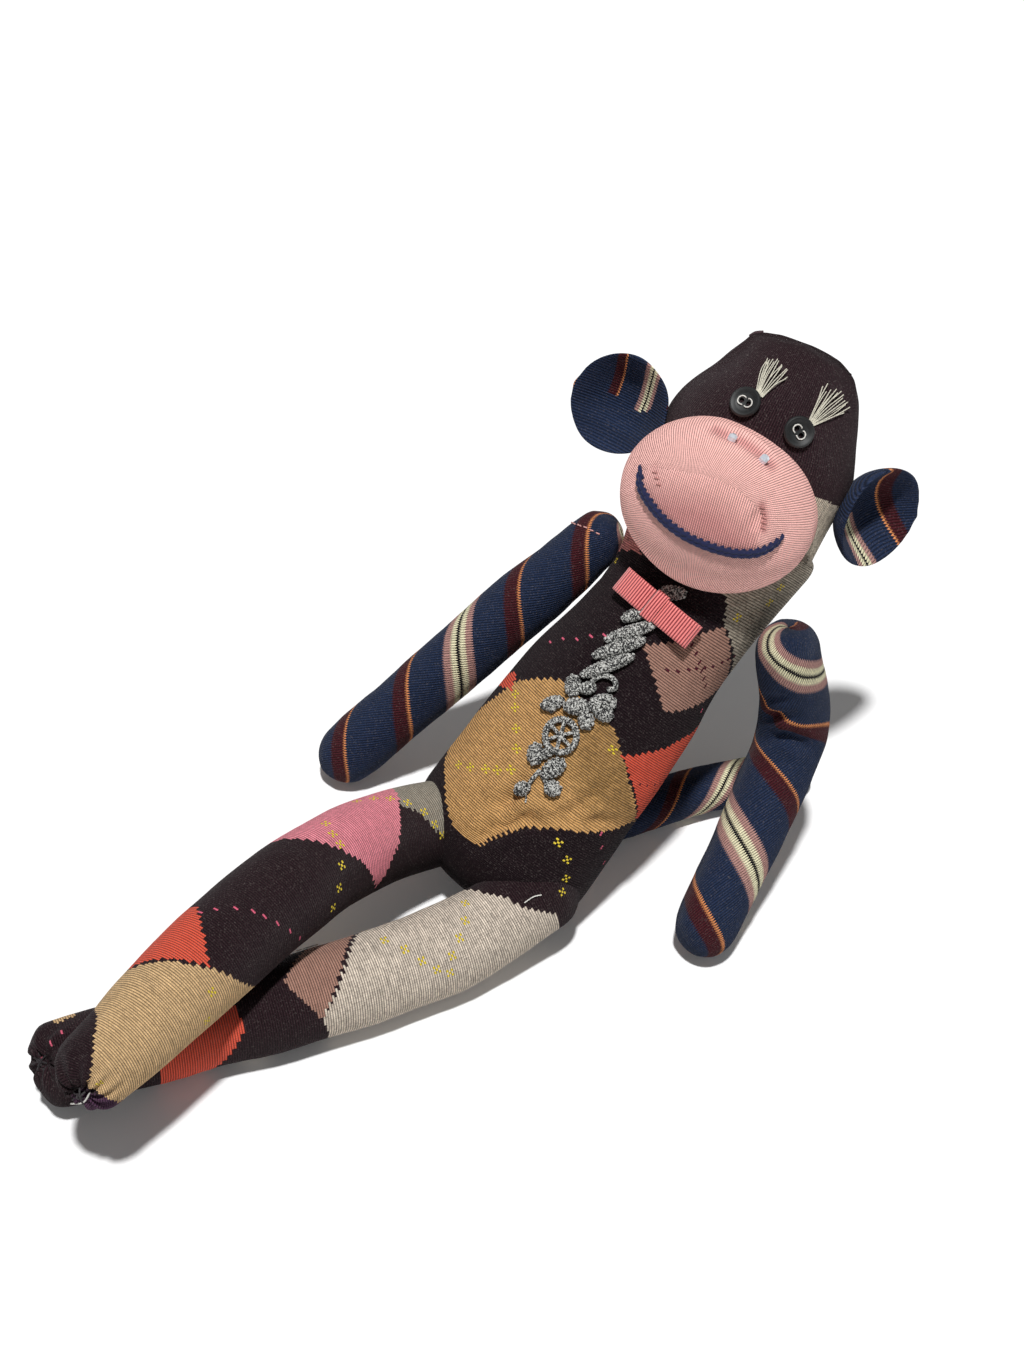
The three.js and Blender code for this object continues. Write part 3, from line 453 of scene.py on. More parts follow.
def met(piece, x, y):
    """Where the ray through a pixel meets a piece, or else comes nearest: the place, the way out, the face."""
    tree, way = trees[piece.name], pixel_ray(x, y)
    place, out, face, _ = tree.ray_cast(eye, way)
    if place is None:
        steps = (eye + way * (CAMERA_DISTANCE + k * SEARCH_STEP) for k in range(-80, 80))
        place, out, face, gap = min((tree.find_nearest(step) for step in steps), key=lambda found: found[3])
        if gap > 4 * MM:
            print(f"{piece.name}: pixel {x}, {y} passes {gap / MM:.0f} mm beside it")
    return place, out, face


def fold(piece, pixels, width, depth, ridge=0.35):
    """Presses a crease into a piece along a line of pixels, with a soft ridge on both sides."""
    settle(piece)
    spots = np.array([list(met(piece, *pixel)[0]) for pixel in pixels])
    line, _, _ = curve_through(spots, 60)
    co, ways = points_of(piece)
    near = np.full(len(co), 9.0)
    share = np.zeros(len(co))
    for k, spot in enumerate(line):
        gap = np.linalg.norm(co - spot, axis=1)
        closer = gap < near
        near[closer] = gap[closer]
        share[closer] = k / (len(line) - 1)
    fade = np.sin(np.clip(share, 0.04, 0.96) * math.pi) ** 0.6
    r = near / (width * MM)
    move = (-np.exp(-r * r) + ridge * np.exp(-(r - 2) ** 2 / 0.8)) * depth * MM * fade
    move_points(piece, co + ways * move[:, None])


def lumpy(piece, size=24, depth=0.8):
    """Gives a piece the low lumps of hand-packed fibre, of a size and height in millimetres."""
    co, ways = points_of(piece)
    rough = np.array([noise.noise(Vector(spot) / (size * MM)) for spot in co])
    move_points(piece, co + ways * (rough * depth * MM)[:, None])


def pucker(piece, pixel, reach, folds, depth, pull):
    """Gathers the cloth round one place: folds run in to it, and it is pulled in."""
    settle(piece)
    middle, out, _ = met(piece, *pixel)
    co, ways = points_of(piece)
    offset = (co - np.array(middle)) / MM
    side = np.array(out.orthogonal().normalized())
    angle = np.arctan2(offset @ np.cross(np.array(out), side), offset @ side)
    gap = np.linalg.norm(offset, axis=1)
    near = np.clip(1 - gap / reach, 0, 1) ** 0.7 * np.clip(gap / 2.5, 0, 1)
    move = near * depth * np.cos(folds * angle + 1.4 * np.sin(2 * angle)) - pull * np.exp(-(gap / 5) ** 2)
    move_points(piece, co + ways * (move * MM)[:, None])


# %% [markdown]
# ## The body
# The body is the leg of the argyle sock: a wide tube, a little narrower at the chest, that leans back on its
# seat. Its numbers count in the torso's own frame, which stands on the hip line as in the CAD model, and
# they are fitted to the photograph's outline. The cloth makes the piece swell, so each piece starts a little
# smaller.

# %% Body
NECK_AT = Vector((-0.1, 107.0, 121.1))  # the neck, counted from the middle of the hips on the floor
TORSO_AT, TORSO_TURN, TORSO_LEAN = Vector((-4.5, 0, 24.76)), -4.5, -48
HEAD_TURN, HEAD_PITCH, HEAD_TILT = 19, -37, 8


def rotation(degrees, axis):
    return Matrix.Rotation(math.radians(degrees), 4, axis)


TORSO = (Matrix.Translation(JOINT["neck"] - NECK_AT * MM + TORSO_AT * MM) @ rotation(TORSO_TURN, "Z")
         @ rotation(TORSO_LEAN, "X"))
HEAD = (Matrix.Translation(JOINT["neck"]) @ rotation(HEAD_TURN, "Z") @ rotation(HEAD_PITCH, "X")
        @ rotation(HEAD_TILT, "Y"))
TORSO_ACROSS, HEAD_ACROSS = (frame_of.to_3x3() @ Vector((1, 0, 0)) for frame_of in (TORSO, HEAD))
SLACK = 0.35


def on_torso(x, y, z):
    return TORSO @ (Vector((x, y, z)) * MM)


def on_head(x, y, z):
    return HEAD @ (Vector((x, y, z)) * MM)


def slack(stations):
    return [(t, wide - SLACK, deep - SLACK) for t, wide, deep in stations]


torso = knitted_tube("torso_knit", [on_torso(-4, 0, 0), on_torso(-3.7, 0, 50), on_torso(-2, 0, 108),
                                    on_torso(-6.5, 0, 147)],
                     slack([(0, 40, 28.5), (0.4, 39, 28), (0.76, 33.5, 26), (1, 40, 27)]),
                     TORSO_ACROSS, (25, 9), seam=0, sideways=True)
stuff(torso)
lumpy(torso)
for pixels, width, depth in (
        ([(524, 784), (510, 800), (492, 816)], 3.2, 3.2),
        ([(474, 845), (495, 829), (527, 820), (556, 828)], 3.0, 3.2),
        ([(604, 788), (580, 806), (556, 818)], 2.6, 1.8),
        ([(556, 816), (590, 822), (624, 822)], 2.6, 1.6),
        ([(600, 640), (590, 660), (584, 682)], 3.0, 0.8)):
    fold(torso, pixels, width, depth)

# %% [markdown]
# ## The head
# The head is the toe of the sock, pulled over a round ball of stuffing. The toe's flat seam makes a nearly
# straight edge across the top.

# %% Head
head = knitted_tube("head_knit", [on_head(-2.5, 0, 0), on_head(-3, 0, 34), on_head(-2.8, 0, 54),
                                  on_head(-4, 0, 71)],
                    slack([(0, 36, 28), (0.25, 36.8, 30), (0.49, 37.8, 31.5), (0.78, 29, 27), (0.88, 26.2, 18),
                           (1, 21.6, 7.5)]),
                    HEAD_ACROSS, (24, 4.5), seam=0)
stuff(head)
lumpy(head, depth=0.5)

# %% [markdown]
# ## The muzzle
# The muzzle is a sock's heel, filled and sewn to the face all round. It is one big dome, wider than it is
# high, and its ribs run out to the seam.

# %% Muzzle
muzzle = knitted_tube("muzzle_knit", [on_head(-4, -2, 11.7), on_head(-4, -26, 10.8)],
                      slack([(0, 35.5, 29.6), (1, 37.3, 31.4)]), HEAD_ACROSS, (4, 36))
stuff(muzzle, most=1.5)
lumpy(muzzle, depth=0.5)
NOSE_RIDGE = [(652, 466), (676, 470), (700, 475), (716, 478), (738, 490), (764, 514)]
fold(muzzle, NOSE_RIDGE, 9.0, -3.2, 0)
fold(muzzle, [(716, 428), (726, 434), (737, 438), (748, 444), (760, 452), (771, 463)], 2.8, 2.2, 0.5)
fold(muzzle, [(763, 508), (758, 520), (754, 534)], 2.6, 1.8)

# %% [markdown]
# ## Arms, legs and tail
# The limbs are narrow tubes, cut from the two socks. The left leg lies on the floor, the right one crosses
# over it near the ankles, and both arms reach down to the floor beside the body. Each route starts at the
# limb's joint.

# %% Limbs
SIDEWAYS = Vector((1, 0, 0))


def beside(joint, x, y, height):
    return Vector((JOINT[joint].x + x * MM, JOINT[joint].y + y * MM, height * MM))


arm_right = knitted_tube("arm_right_knit", [JOINT["shoulder_right"] + Vector((-3.4, 0.5, 1.8)) * MM,
                                            beside("shoulder_right", -46.5, -88, 12.3)],
                         slack(evenly([11.4, 13.4, 13.4, 13.2, 12.8])), SIDEWAYS, (12, 12.8))
arm_left = knitted_tube("arm_left_knit",
                        [JOINT["shoulder_left"] + Vector((1, 4, 3)) * MM,
                         JOINT["shoulder_left"] + Vector((8.5, 6.5, -45)) * MM,
                         beside("shoulder_left", 23.5, -53, 12.8)],
                        slack(evenly([12.5, 14, 14, 13.4, 12.8])), SIDEWAYS, (11, 12.8))
leg_right = knitted_tube("leg_right_knit",
                         [JOINT["hip_right"], JOINT["hip_right"] + Vector((-8, -40, 12)) * MM,
                          beside("hip_right", -6, -95, 48.5), beside("hip_right", 3, -184, 50)],
                         slack(evenly([16.6, 17.6, 17.9, 18.4, 18.4, 17.0, 14.5])), SIDEWAYS, (15.5, 10),
                         sideways=True)
leg_left = knitted_tube("leg_left_knit",
                        [JOINT["hip_left"], beside("hip_left", -11, -38, 16.5),
                         beside("hip_left", -34, -95, 16.5), beside("hip_left", -74.5, -174, 16.5)],
                        slack(evenly([15.5, 17.5, 17.5, 17.5, 16.5, 16.5, 16.0],
                                     [15.5, 16.5, 16.5, 16.5, 16.5, 16.5, 16.0])), SIDEWAYS, (15.5, 8),
                        sideways=True)
tail_way = Vector((0.42, 0.9, 0)).normalized()
tail_root = JOINT["tail_root"]
tail = knitted_tube("tail_knit", [tail_root + Vector((0, 0, 1)) * MM,
                                  tail_root + tail_way * 49 * MM + Vector((-4, 1, 0)) * MM,
                                  tail_root + tail_way * 98 * MM],
                    slack(evenly([8.5, 10.2, 10.2, 9.8])), SIDEWAYS, (8.5, 9.8), seam=0)
for piece in (arm_right, arm_left, leg_right, leg_left, tail):
    stuff(piece)
    lumpy(piece)
for piece, pixels, width, depth in (
        (arm_left, [(764, 722), (778, 716), (792, 716)], 2.4, 2.0),
        (arm_left, [(766, 740), (782, 736), (800, 742), (814, 752)], 2.6, 2.2),
        (arm_left, [(768, 700), (780, 698), (792, 700)], 2.0, 1.0),
        (leg_right, [(446, 768), (450, 790), (452, 812)], 2.4, 1.4),
        (leg_right, [(150, 968), (166, 985), (176, 1003)], 3.0, 0.7),
        (leg_right, [(120, 985), (136, 1004), (146, 1024)], 3.0, 0.7),
        (leg_left, [(600, 838), (580, 850), (560, 856)], 3.0, 1.0),
        (leg_left, [(470, 892), (476, 920), (470, 948)], 3.2, 0.6),
        (leg_left, [(430, 910), (438, 940), (432, 968)], 3.2, 0.6)):
    fold(piece, pixels, width, depth)
TOES = {"right": (80, 1097), "left": (40, 1062)}
pucker(leg_right, TOES["right"], reach=17, folds=11, depth=1.5, pull=3.0)
pucker(leg_left, TOES["left"], reach=17, folds=9, depth=1.7, pull=4.0)

# %% [markdown]
# ## Ears
# Each ear is two rounds of striped sock, sewn together, lightly filled, and folded at the root so that it
# cups forward. A thin tube whose widths follow a circle gives the round. Its middle is pressed thin and its
# rim is brought forward, which leaves the deep hollow that the photograph shows.

# %% Ears
def lay_flat(piece, across, along, faces=None):
    """Counts the stitches of some faces on flat cloth. across and along give each point's millimetres."""
    mesh = piece.data
    loops = read(mesh.loops, "vertex_index", kind=int)
    counted = np.stack([across / (WALE / MM), along / (COURSE / MM)], 1)[loops]
    stitches = mesh.uv_layers["stitches"].data
    uv = read(stitches, "uv", 2)
    starts, totals = (read(mesh.polygons, what, kind=int) for what in ("loop_start", "loop_total"))
    chosen = np.repeat(np.ones(len(starts), bool) if faces is None else faces, totals)
    uv[chosen] = counted[chosen]
    stitches.foreach_set("uv", uv.ravel())
    if faces is None:
        for column, key_name in enumerate(("wale", "course")):
            middles = np.add.reduceat(counted[:, column], starts) / totals
            mesh.attributes[key_name].data.foreach_set("value", middles)


def knitted_ear(name, side, turned_back, rise, middle, cup, radius):
    """middle is the ear's middle, and cup how far its rim stands forward, in the head's millimetres."""
    turn, lift = math.radians(turned_back), math.radians(rise)
    out = Vector((side * math.cos(turn), math.sin(turn), math.tan(lift))).normalized()
    forward = Vector((side * math.sin(turn), -math.cos(turn), 0))
    shares = [0.003 + 0.994 * k / 14 for k in range(15)]
    shares = [0.5 - 0.5 * math.cos(math.pi * share) for share in shares]
    disc = [(t, radius * 2 * math.sqrt(t * (1 - t)), 0.8 + 4.2 * 2 * math.sqrt(t * (1 - t))) for t in shares]
    disc = [(0, 1.5, 0.8)] + disc[1:-1] + [(1, 1.5, 0.8)]
    made = knitted_tube(name, [on_head(*(Vector(middle) + out * reach)) for reach in (-radius, radius)],
                        disc, HEAD.to_3x3() @ Vector((0, 0, 1)), (0.4, 0.4), seam=0.25)
    co, _ = points_of(made)
    turned = np.array(HEAD.to_3x3())
    local = (co - np.array(HEAD.translation)) @ turned / MM - np.array(middle)
    front = np.array(forward)
    thick = local @ front
    flat = local - thick[:, None] * front
    rim = np.linalg.norm(flat, axis=1) / radius
    lift = thick * (0.35 + 0.85 * rim ** 2) + cup * rim ** 2.4
    local = flat + lift[:, None] * front
    move_points(made, ((local + np.array(middle)) * MM) @ turned.T + np.array(HEAD.translation))
    lay_flat(made, flat @ np.array(out.cross(forward)), flat @ np.array(out))
    lumpy(made, size=12, depth=0.6)
    return made


ear_right = knitted_ear("ear_right_knit", -1, 0, 0, (-55.7, 1, 26.0), 14, 18.6)
ear_left = knitted_ear("ear_left_knit", 1, 60, 14, (36.3, 14.2, 28.9), 13, 19.8)

KNITS = {"torso": torso, "head": head, "muzzle": muzzle, "arm_right": arm_right, "arm_left": arm_left,
         "leg_right": leg_right, "leg_left": leg_left, "tail": tail, "ear_right": ear_right,
         "ear_left": ear_left}
for piece in KNITS.values():
    move_points(piece, points_of(piece)[0])
    settle(piece)

# %% [markdown]
# ## The heel's cup
# The middle of the muzzle is the cup of the heel, whose ribs don't run out to the rim. The stitches of the
# faces between the nose ridge and the mouth are counted anew on a flat plane, so that their ribs run upright.

# %% Heel cup
SMILE = [(642, 472), (641, 481), (644, 492), (652, 505), (662, 517), (676, 529), (699, 542), (726, 551),
         (742, 553), (756, 552), (769, 547), (778, 541)]
CUP = NOSE_RIDGE + SMILE[9::-1]
cup = inside(pixels_of(read(muzzle.data.polygons, "center", 3)), CUP)
from_head = (points_of(muzzle)[0] - np.array(HEAD.translation)) @ np.array(HEAD.to_3x3()) / MM
lay_flat(muzzle, 1.25 * from_head[:, 0] + 0.2 * from_head[:, 2], from_head[:, 2], cup)
print("heel cup:", int(cup.sum()), "stitches")


def near_line(spots, pixels):
    """How far the spots lie from a line of pixels, in pixels."""
    line, _, _ = curve_through([(x, y, 0) for x, y in pixels], 80)
    return np.linalg.norm(spots[:, None, :] - line[None, :, :2], axis=2).min(axis=1)


muzzle_pixels = pixels_of(points_of(muzzle)[0])
# Painted shade on the muzzle: darker in the cup the further it lies below the nose ridge, and in the crease
# between the beads and along the gussets.
painted_cup_shade = 0.85 * inside(muzzle_pixels, CUP) * np.clip(near_line(muzzle_pixels, NOSE_RIDGE) / 40, 0.25, 1)
one_end, other_end = read(muzzle.data.edges, "vertices", 2, int).T
for _ in range(6):
    total, count = painted_cup_shade.copy(), np.ones(len(painted_cup_shade))
    for a, b in ((one_end, other_end), (other_end, one_end)):
        np.add.at(total, a, painted_cup_shade[b])
        np.add.at(count, a, 1)
    painted_cup_shade = total / count
for pixels, reach, strength in (
        ([(716, 430), (726, 435), (738, 440), (750, 447), (762, 456), (772, 466)], 5, 0.75),
        ([(762, 505), (765, 516), (763, 530)], 4, 0.8), ([(655, 468), (658, 478), (663, 486)], 5, 0.4)):
    painted_cup_shade = np.maximum(painted_cup_shade, strength * np.exp(-(near_line(muzzle_pixels, pixels) / reach) ** 2))
muzzle.data.attributes.new("painted_cup_shade", "FLOAT", "POINT").data.foreach_set("value", painted_cup_shade)

# %% [markdown]
# ## The argyle chart
# A knitter works argyle from a chart: one square for each stitch, coloured in diamonds. The pieces' grids are
# such charts. A patch is a polygon whose corners are pixels of the photograph, turned into wales and courses
# by a ray, and a corner that the photograph hides adds some stitches to one that it shows. Every second
# course is shifted a little, which gives the diamonds their saw teeth. The fourth number of a yarn says how
# much its shade varies from stitch to stitch.

# %% Argyle chart
YARN = {name: linear(colour, varied) for name, colour, varied in (
    ("black", "#1e1317", 0.30), ("brown", "#27191d", 0.35), ("taupe", "#9a7567", 0.30),
    ("heather", "#a29889", 0.80), ("orange", "#cf5440", 0.15), ("ochre", "#bb905c", 0.50),
    ("ochre_deep_painted_shade", "#9c784a", 0.60), ("ochre_half_painted_shade", "#ab8453", 0.60), ("grey", "#8f887b", 0.35),
    ("pink", "#d8828e", 0.35), ("tan", "#c2a278", 0.50), ("beige", "#c6b9aa", 0.65),
    ("yellow", "#d9c03c", 0.20), ("rose", "#c75a72", 0.20), ("burgundy", "#4c1824", 0.20),
    ("plum", "#4a3046", 0.30), ("mottle", "#c47d78", 0.90))}


class Chart:
    """The stitches of one piece, each with its yarn."""

    def __init__(self, piece, ground):
        self.piece = piece
        self.wale, self.course = (read(piece.data.attributes[name].data, "value")
                                  for name in ("wale", "course"))
        self.yarn = np.tile(YARN[ground], (len(self.wale), 1))
        self.turn = piece["wales"]
        middles, ways = (read(piece.data.polygons, what, 3) for what in ("center", "normal"))
        self.shown = np.einsum("ij,ij->i", ways, np.array(eye) - middles) > 0
        self.pixels = pixels_of(middles)

    def spot(self, x, y, wales=0, courses=0):
        face = met(self.piece, x, y)[2]
        return self.wale[face] + wales, self.course[face] + courses

    def fill(self, yarn, corners, tooth=0.55, free=None):
        """Fills a polygon of (wale, course) corners, or only its free faces."""
        for round_the_limb in (-1, 0, 1):
            w = self.wale + round_the_limb * self.turn + tooth * (np.floor(self.course) % 2 - 0.5) * 2
            found = inside(np.stack([w, self.course], 1), corners)
            self.yarn[found if free is None else found & free] = YARN[yarn]

    def seen(self, yarn, *pixels, tooth=1.6):
        """Fills a polygon of pixels, on the side that the photograph shows."""
        spots = self.pixels + tooth * (np.floor(self.wale) % 2 - 0.5)[:, None]
        self.yarn[inside(spots, list(pixels)) & self.shown] = YARN[yarn]

    def patch(self, yarn, *pixels, tooth=0.55):
        """Fills a polygon of pixels, each with any stitches to add."""
        self.fill(yarn, [self.spot(*pixel) for pixel in pixels], tooth)

    def behind(self, yarns, columns, half_wales, half_courses, first):
        """Carries the diamonds on over the side that the photograph doesn't show."""
        away = ~self.shown
        turn = self.wale[away] / self.turn * 2 * math.pi
        middle = math.atan2(np.sin(turn).mean(), np.cos(turn).mean()) / (2 * math.pi) * self.turn
        free = (self.yarn == self.yarn[0]).all(axis=1) & away
        rows = int((self.course.max() - first) / (2 * half_courses))
        for column in range(columns):
            wale = middle + (2 * column - columns + 1) * half_wales
            for row in range(rows):
                course = first + (2 * row + 1) * half_courses
                corners = [(wale - half_wales, course), (wale, course - half_courses),
                           (wale + half_wales, course), (wale, course + half_courses)]
                self.fill(yarns[(row + column) % len(yarns)], corners, free=free)

    def stitch(self, yarn, wale, course, marks):
        for w, c in marks:
            hit = ((np.floor(self.wale) == (math.floor(wale) + w) % self.turn)
                   & (np.floor(self.course) == math.floor(course) + c))
            self.yarn[hit] = YARN[yarn]

    def crosses(self, yarn, *pixels):
        """A small cross of five stitches at each pixel."""
        for pixel in pixels:
            self.stitch(yarn, *self.spot(*pixel), ((-1, -1), (-1, 1), (0, 0), (1, -1), (1, 1)))

    def dashes(self, yarn, *pixels, marks=((0, 0), (1, 0))):
        for pixel in pixels:
            self.stitch(yarn, *self.spot(*pixel), marks)

    def dashed_line(self, yarn, start, end, count, marks=((0, 0),)):
        (w0, c0), (w1, c1) = self.spot(*start), self.spot(*end)
        for k in range(count):
            share = k / (count - 1)
            self.stitch(yarn, w0 + (w1 - w0) * share, c0 + (c1 - c0) * share, marks)

    def knit(self):
        layer = self.piece.data.attributes.new("yarn", "FLOAT_COLOR", "FACE")
        layer.data.foreach_set("color", self.yarn.ravel())
        print(self.piece.name, "charted in", len(np.unique(self.yarn, axis=0)), "yarns")


chart = Chart(torso, "black")
chart.patch("heather", (722, 591), (726, 604), (724, 622), (738, 677), (728, 681, 8, 0), (728, 681, 46, 4),
            (790, 600, 46, 12), (790, 580, 12, 40), (722, 580, 0, 40))
chart.patch("mottle", (594, 540), (604, 549), (622, 550), (640, 552), (640, 552, 20, 40), (594, 540, -30, 40),
            (594, 540, -30, 0), tooth=1.2)
chart.crosses("yellow", (604, 516), (600, 532), (612, 520))
chart.patch("taupe", (644, 646), (664, 712), (726, 683, 4, 0), (724, 625))
chart.dashed_line("burgundy", (665, 669), (735, 655), 9, ((0, 0), (1, 0)))
chart.dashed_line("burgundy", (692, 645), (704, 688), 6, ((0, 0), (0, 1)))
chart.patch("orange", (621, 755), (684, 738), (684, 738, 26, 14), (640, 815, 22, 0), (635, 820))
chart.dashed_line("burgundy", (639, 785), (667, 777), 6)
chart.patch("ochre", (455, 737, -8, 0), (492, 700), (517, 681), (562, 680), (608, 719), (616, 735), (621, 754),
            (629, 784), (634, 820), (612, 829), (564, 829), (526, 826), (498, 836), (476, 847),
            (459, 832, -4, 0), (452, 790, -6, 0))
# Painted shade: the right side of the ochre belly, turned away from the lamp, is drawn in two darker ochres.
chart.seen("ochre_half_painted_shade", (590, 724), (604, 717), (616, 735), (621, 754), (629, 784), (634, 820), (606, 822),
           (584, 808), (570, 788), (566, 765), (574, 740), tooth=3)
chart.seen("ochre_deep_painted_shade", (600, 722), (607, 719), (616, 735), (621, 754), (629, 784), (634, 812), (612, 808),
           (592, 794), (580, 776), (578, 756), (586, 736), tooth=3)
chart.patch("orange", (517, 674), (512, 690), (500, 690, -6, 0), (505, 676, -6, 0))
chart.crosses("yellow", (515, 694), (515, 709), (516, 728), (517, 749), (459, 764), (471, 767), (485, 770),
              (497, 771), (512, 770), (612, 750), (616, 560), (558, 843), (566, 860), (567, 878))
chart.dashes("rose", (550, 642), (563, 638), (577, 638), (590, 636), (603, 635))
chart.dashes("rose", (701, 712), (702, 722), (601, 835), (602, 848), (604, 863), (602, 875),
             marks=((0, 0), (0, 1)))
chart.crosses("yellow", (770, 602), (738, 617), (780, 588))
chart.behind(("taupe", "ochre", "heather"), 2, 26, 30, 30)
chart.knit()

chart = Chart(head, "brown")
chart.seen("heather", (812, 496), (824, 500), (840, 508), (835, 534), (822, 564), (800, 600), (770, 610),
           (800, 560))
chart.knit()

chart = Chart(leg_right, "brown")
chart.patch("grey", (387, 777), (387, 777, 26, 0), (445, 758, 26, -6), (453, 791, 0, -8), (450, 830),
            (447, 838), (435, 830), (418, 811), (401, 806))
chart.patch("pink", (387, 777, 26, 0), (387, 777), (398, 795), (400, 842), (392, 860), (376, 887), (363, 862),
            (349, 854), (322, 842), (296, 839), (278, 841, 4, 0), (278, 841, 26, 10))
chart.crosses("yellow", (391, 798), (373, 798), (357, 801), (325, 823), (334, 834), (341, 844), (343, 866),
              (339, 888), (333, 908), (408, 802), (424, 811), (435, 825), (442, 836))
chart.dashes("rose", (418, 766), (419, 779), (201, 912), (218, 909), (237, 909), (253, 912), (266, 918),
             (279, 924), (290, 932), (300, 939))
chart.patch("orange", (196, 908, 22, 0), (196, 908), (209, 967), (120, 973), (120, 973, 22, 0))
chart.patch("plum", (250, 992), (250, 992, -12, 6), (118, 1104, -12, 2), (84, 1097), (100, 1080))
chart.patch("tan", (92, 998, 16, 0), (120, 973, 18, 0), (131, 969), (149, 963), (172, 961), (191, 965),
            (209, 968), (222, 973), (238, 981), (258, 988), (240, 1018), (215, 1038), (190, 1059),
            (160, 1079), (138, 1097), (118, 1102), (100, 1094), (86, 1084), (89, 1073), (93, 1041), (95, 1016))
chart.seen("brown", (92, 996), (97, 1016), (94, 1041), (91, 1073), (86, 1090), (70, 1112), (20, 1112),
           (20, 980))
chart.seen("tan", (93, 998), (120, 973), (131, 969), (190, 1000), (190, 1058), (160, 1078), (138, 1096),
           (118, 1102), (100, 1094), (87, 1086), (91, 1073), (94, 1041), (97, 1016))
chart.seen("plum", (72, 1096), (84, 1088), (100, 1096), (118, 1104), (140, 1098), (162, 1080), (190, 1060),
           (200, 1075), (120, 1120), (66, 1112))
chart.crosses("yellow", (212, 991), (208, 1021), (100, 1083), (140, 1090))
chart.behind(("taupe", "tan", "orange"), 1, 24, 28, 20)
chart.knit()

chart = Chart(leg_left, "brown")
chart.patch("beige", (356, 918), (356, 918, 6, 0), (392, 906, 8, 0), (428, 889, 4, 0), (443, 888), (464, 889),
            (484, 893), (504, 898), (522, 907), (538, 912), (556, 913), (556, 913, -26, 0), (340, 1029, -26, 0),
            (326, 1024), (322, 1018), (340, 980), tooth=0.9)
chart.patch("taupe", (351, 927), (351, 927, 8, 0), (323, 936, 8, 0), (284, 983), (322, 1018), (340, 975))
chart.crosses("yellow", (465, 904), (465, 920), (459, 938), (452, 955), (449, 973), (364, 931), (385, 940),
              (404, 950), (422, 960), (438, 970), (558, 843), (566, 860), (567, 878), (562, 893))
chart.dashes("rose", (601, 835), (602, 848), (604, 863), (602, 875), (596, 887), (589, 894),
             marks=((0, 0), (0, 1)))
chart.dashes("rose", (62, 1032), (52, 1044), (42, 1058))
chart.patch("orange", (232, 1012, 10, 0), (246, 1026), (211, 1073), (211, 1073, -10, 0), (159, 1088, -10, 0),
            (159, 1060, 10, 0))
chart.patch("tan", (54, 1024), (75, 1016), (75, 1016, 14, 0), (54, 1021, 14, 0))
chart.behind(("grey", "ochre", "beige"), 1, 24, 28, 20)
chart.knit()

# %% [markdown]
# ## Stripes
# The striped sock is a repeat of two maroon bands with an orange edge and one group of cream lines, on navy.
# The cloth was cut on the slant, so the stripes wind round the limbs. A few pixels on known stripes fit the
# slant, and the stitches' UV map is turned to it, so that each stripe follows its courses.

# %% Stripes
STRIPE_REPEAT = 66  # millimetres from one group of cream lines to the next
PLAIN_NAVY = 15  # a place in the repeat, in millimetres, that is far from any line


def lay_stripes(piece, *spots, root=None):
    """Each spot is a pixel and the number of millimetres across the stripes there. Inside an ear's root pixels,
    where the ear's hollow lies in shade, plain navy is laid as painted shade."""
    faces = [met(piece, x, y)[2] for x, y, _ in spots]
    wale, course = (read(piece.data.attributes[name].data, "value") for name in ("wale", "course"))
    around, along = wale * WALE / MM, course * COURSE / MM
    table = np.array([[around[f], along[f], 1] for f in faces])
    (a, b, c), *_ = np.linalg.lstsq(table, np.array([spot[2] for spot in spots], float), rcond=None)
    layer = piece.data.uv_layers["stitches"].data
    uv = read(layer, "uv", 2)
    s, t = uv[:, 0] * WALE / MM, uv[:, 1] * COURSE / MM
    uv[:, 1] = (a * s + b * t + c) / (COURSE / MM)
    uv[:, 0] = (-b * s + a * t) / math.hypot(a, b) / (WALE / MM)
    # Painted shade: plain navy over the ear's root, where its hollow lies in shade.
    if root:
        root_in_shade = inside(pixels_of(read(piece.data.polygons, "center", 3)), root)
        uv[np.repeat(root_in_shade, read(piece.data.polygons, "loop_total", kind=int)), 1] = PLAIN_NAVY * MM / COURSE
    layer.foreach_set("uv", uv.ravel())
    miss = table @ np.array([a, b, c]) - [spot[2] for spot in spots]
    print(piece.name, "stripes", round(a, 2), round(b, 2), "off by", round(float(abs(miss).max()), 1), "mm")


lay_stripes(arm_right, (586, 545, 0), (521, 600, 24), (521, 640, 24), (458, 640, 47.4), (458, 690, 47.4),
            (409, 665, 66), (409, 720, 66), (348, 715, 90), (348, 760, 90))
lay_stripes(arm_left, (760, 655, 47.4), (815, 665, 47.4), (762, 700, 66), (790, 718, 66), (825, 738, 66),
            (764, 754, 90), (785, 790, 90), (798, 815, 90), (742, 810, 113.4), (755, 870, 113.4),
            (701, 880, 132),
            (700, 930, 132))
lay_stripes(tail, (692, 756, 66), (676, 799, 66), (738, 750, 47.4), (716, 798, 47.4))
lay_stripes(ear_right, (626, 355, 66), (618, 398, 66), (653, 380, 47.4), (640, 408, 47.4),
            root=[(564, 388), (600, 389), (622, 400), (638, 412), (672, 408), (680, 460), (564, 460)])
lay_stripes(ear_left, (876, 497, 66), (897, 535, 66), (850, 525, 47.4), (862, 555, 47.4),
            root=[(830, 480), (872, 470), (872, 500), (852, 513), (830, 522)])

# %% [markdown]
# ## Knitted cloth
# Machine-knit sock cloth is stocking stitch: every stitch is a small V of two yarn legs. Two sine waves on
# the stitches' UV map draw the legs and the slope of the V, for the bump, for a painted shade in the gaps
# between the yarns and for a painted highlight on their crests. Wool and cotton scatter light at grazing
# angles, so the shader gets some sheen. A heathered yarn changes its shade from stitch to stitch and in
# short streaks along a course, and a few pale fibres stand out of it.

# %% Knitted cloth
FIBRES_PER_METRE = 1700.0
LINT = (0.30, 0.26, 0.24, 1)


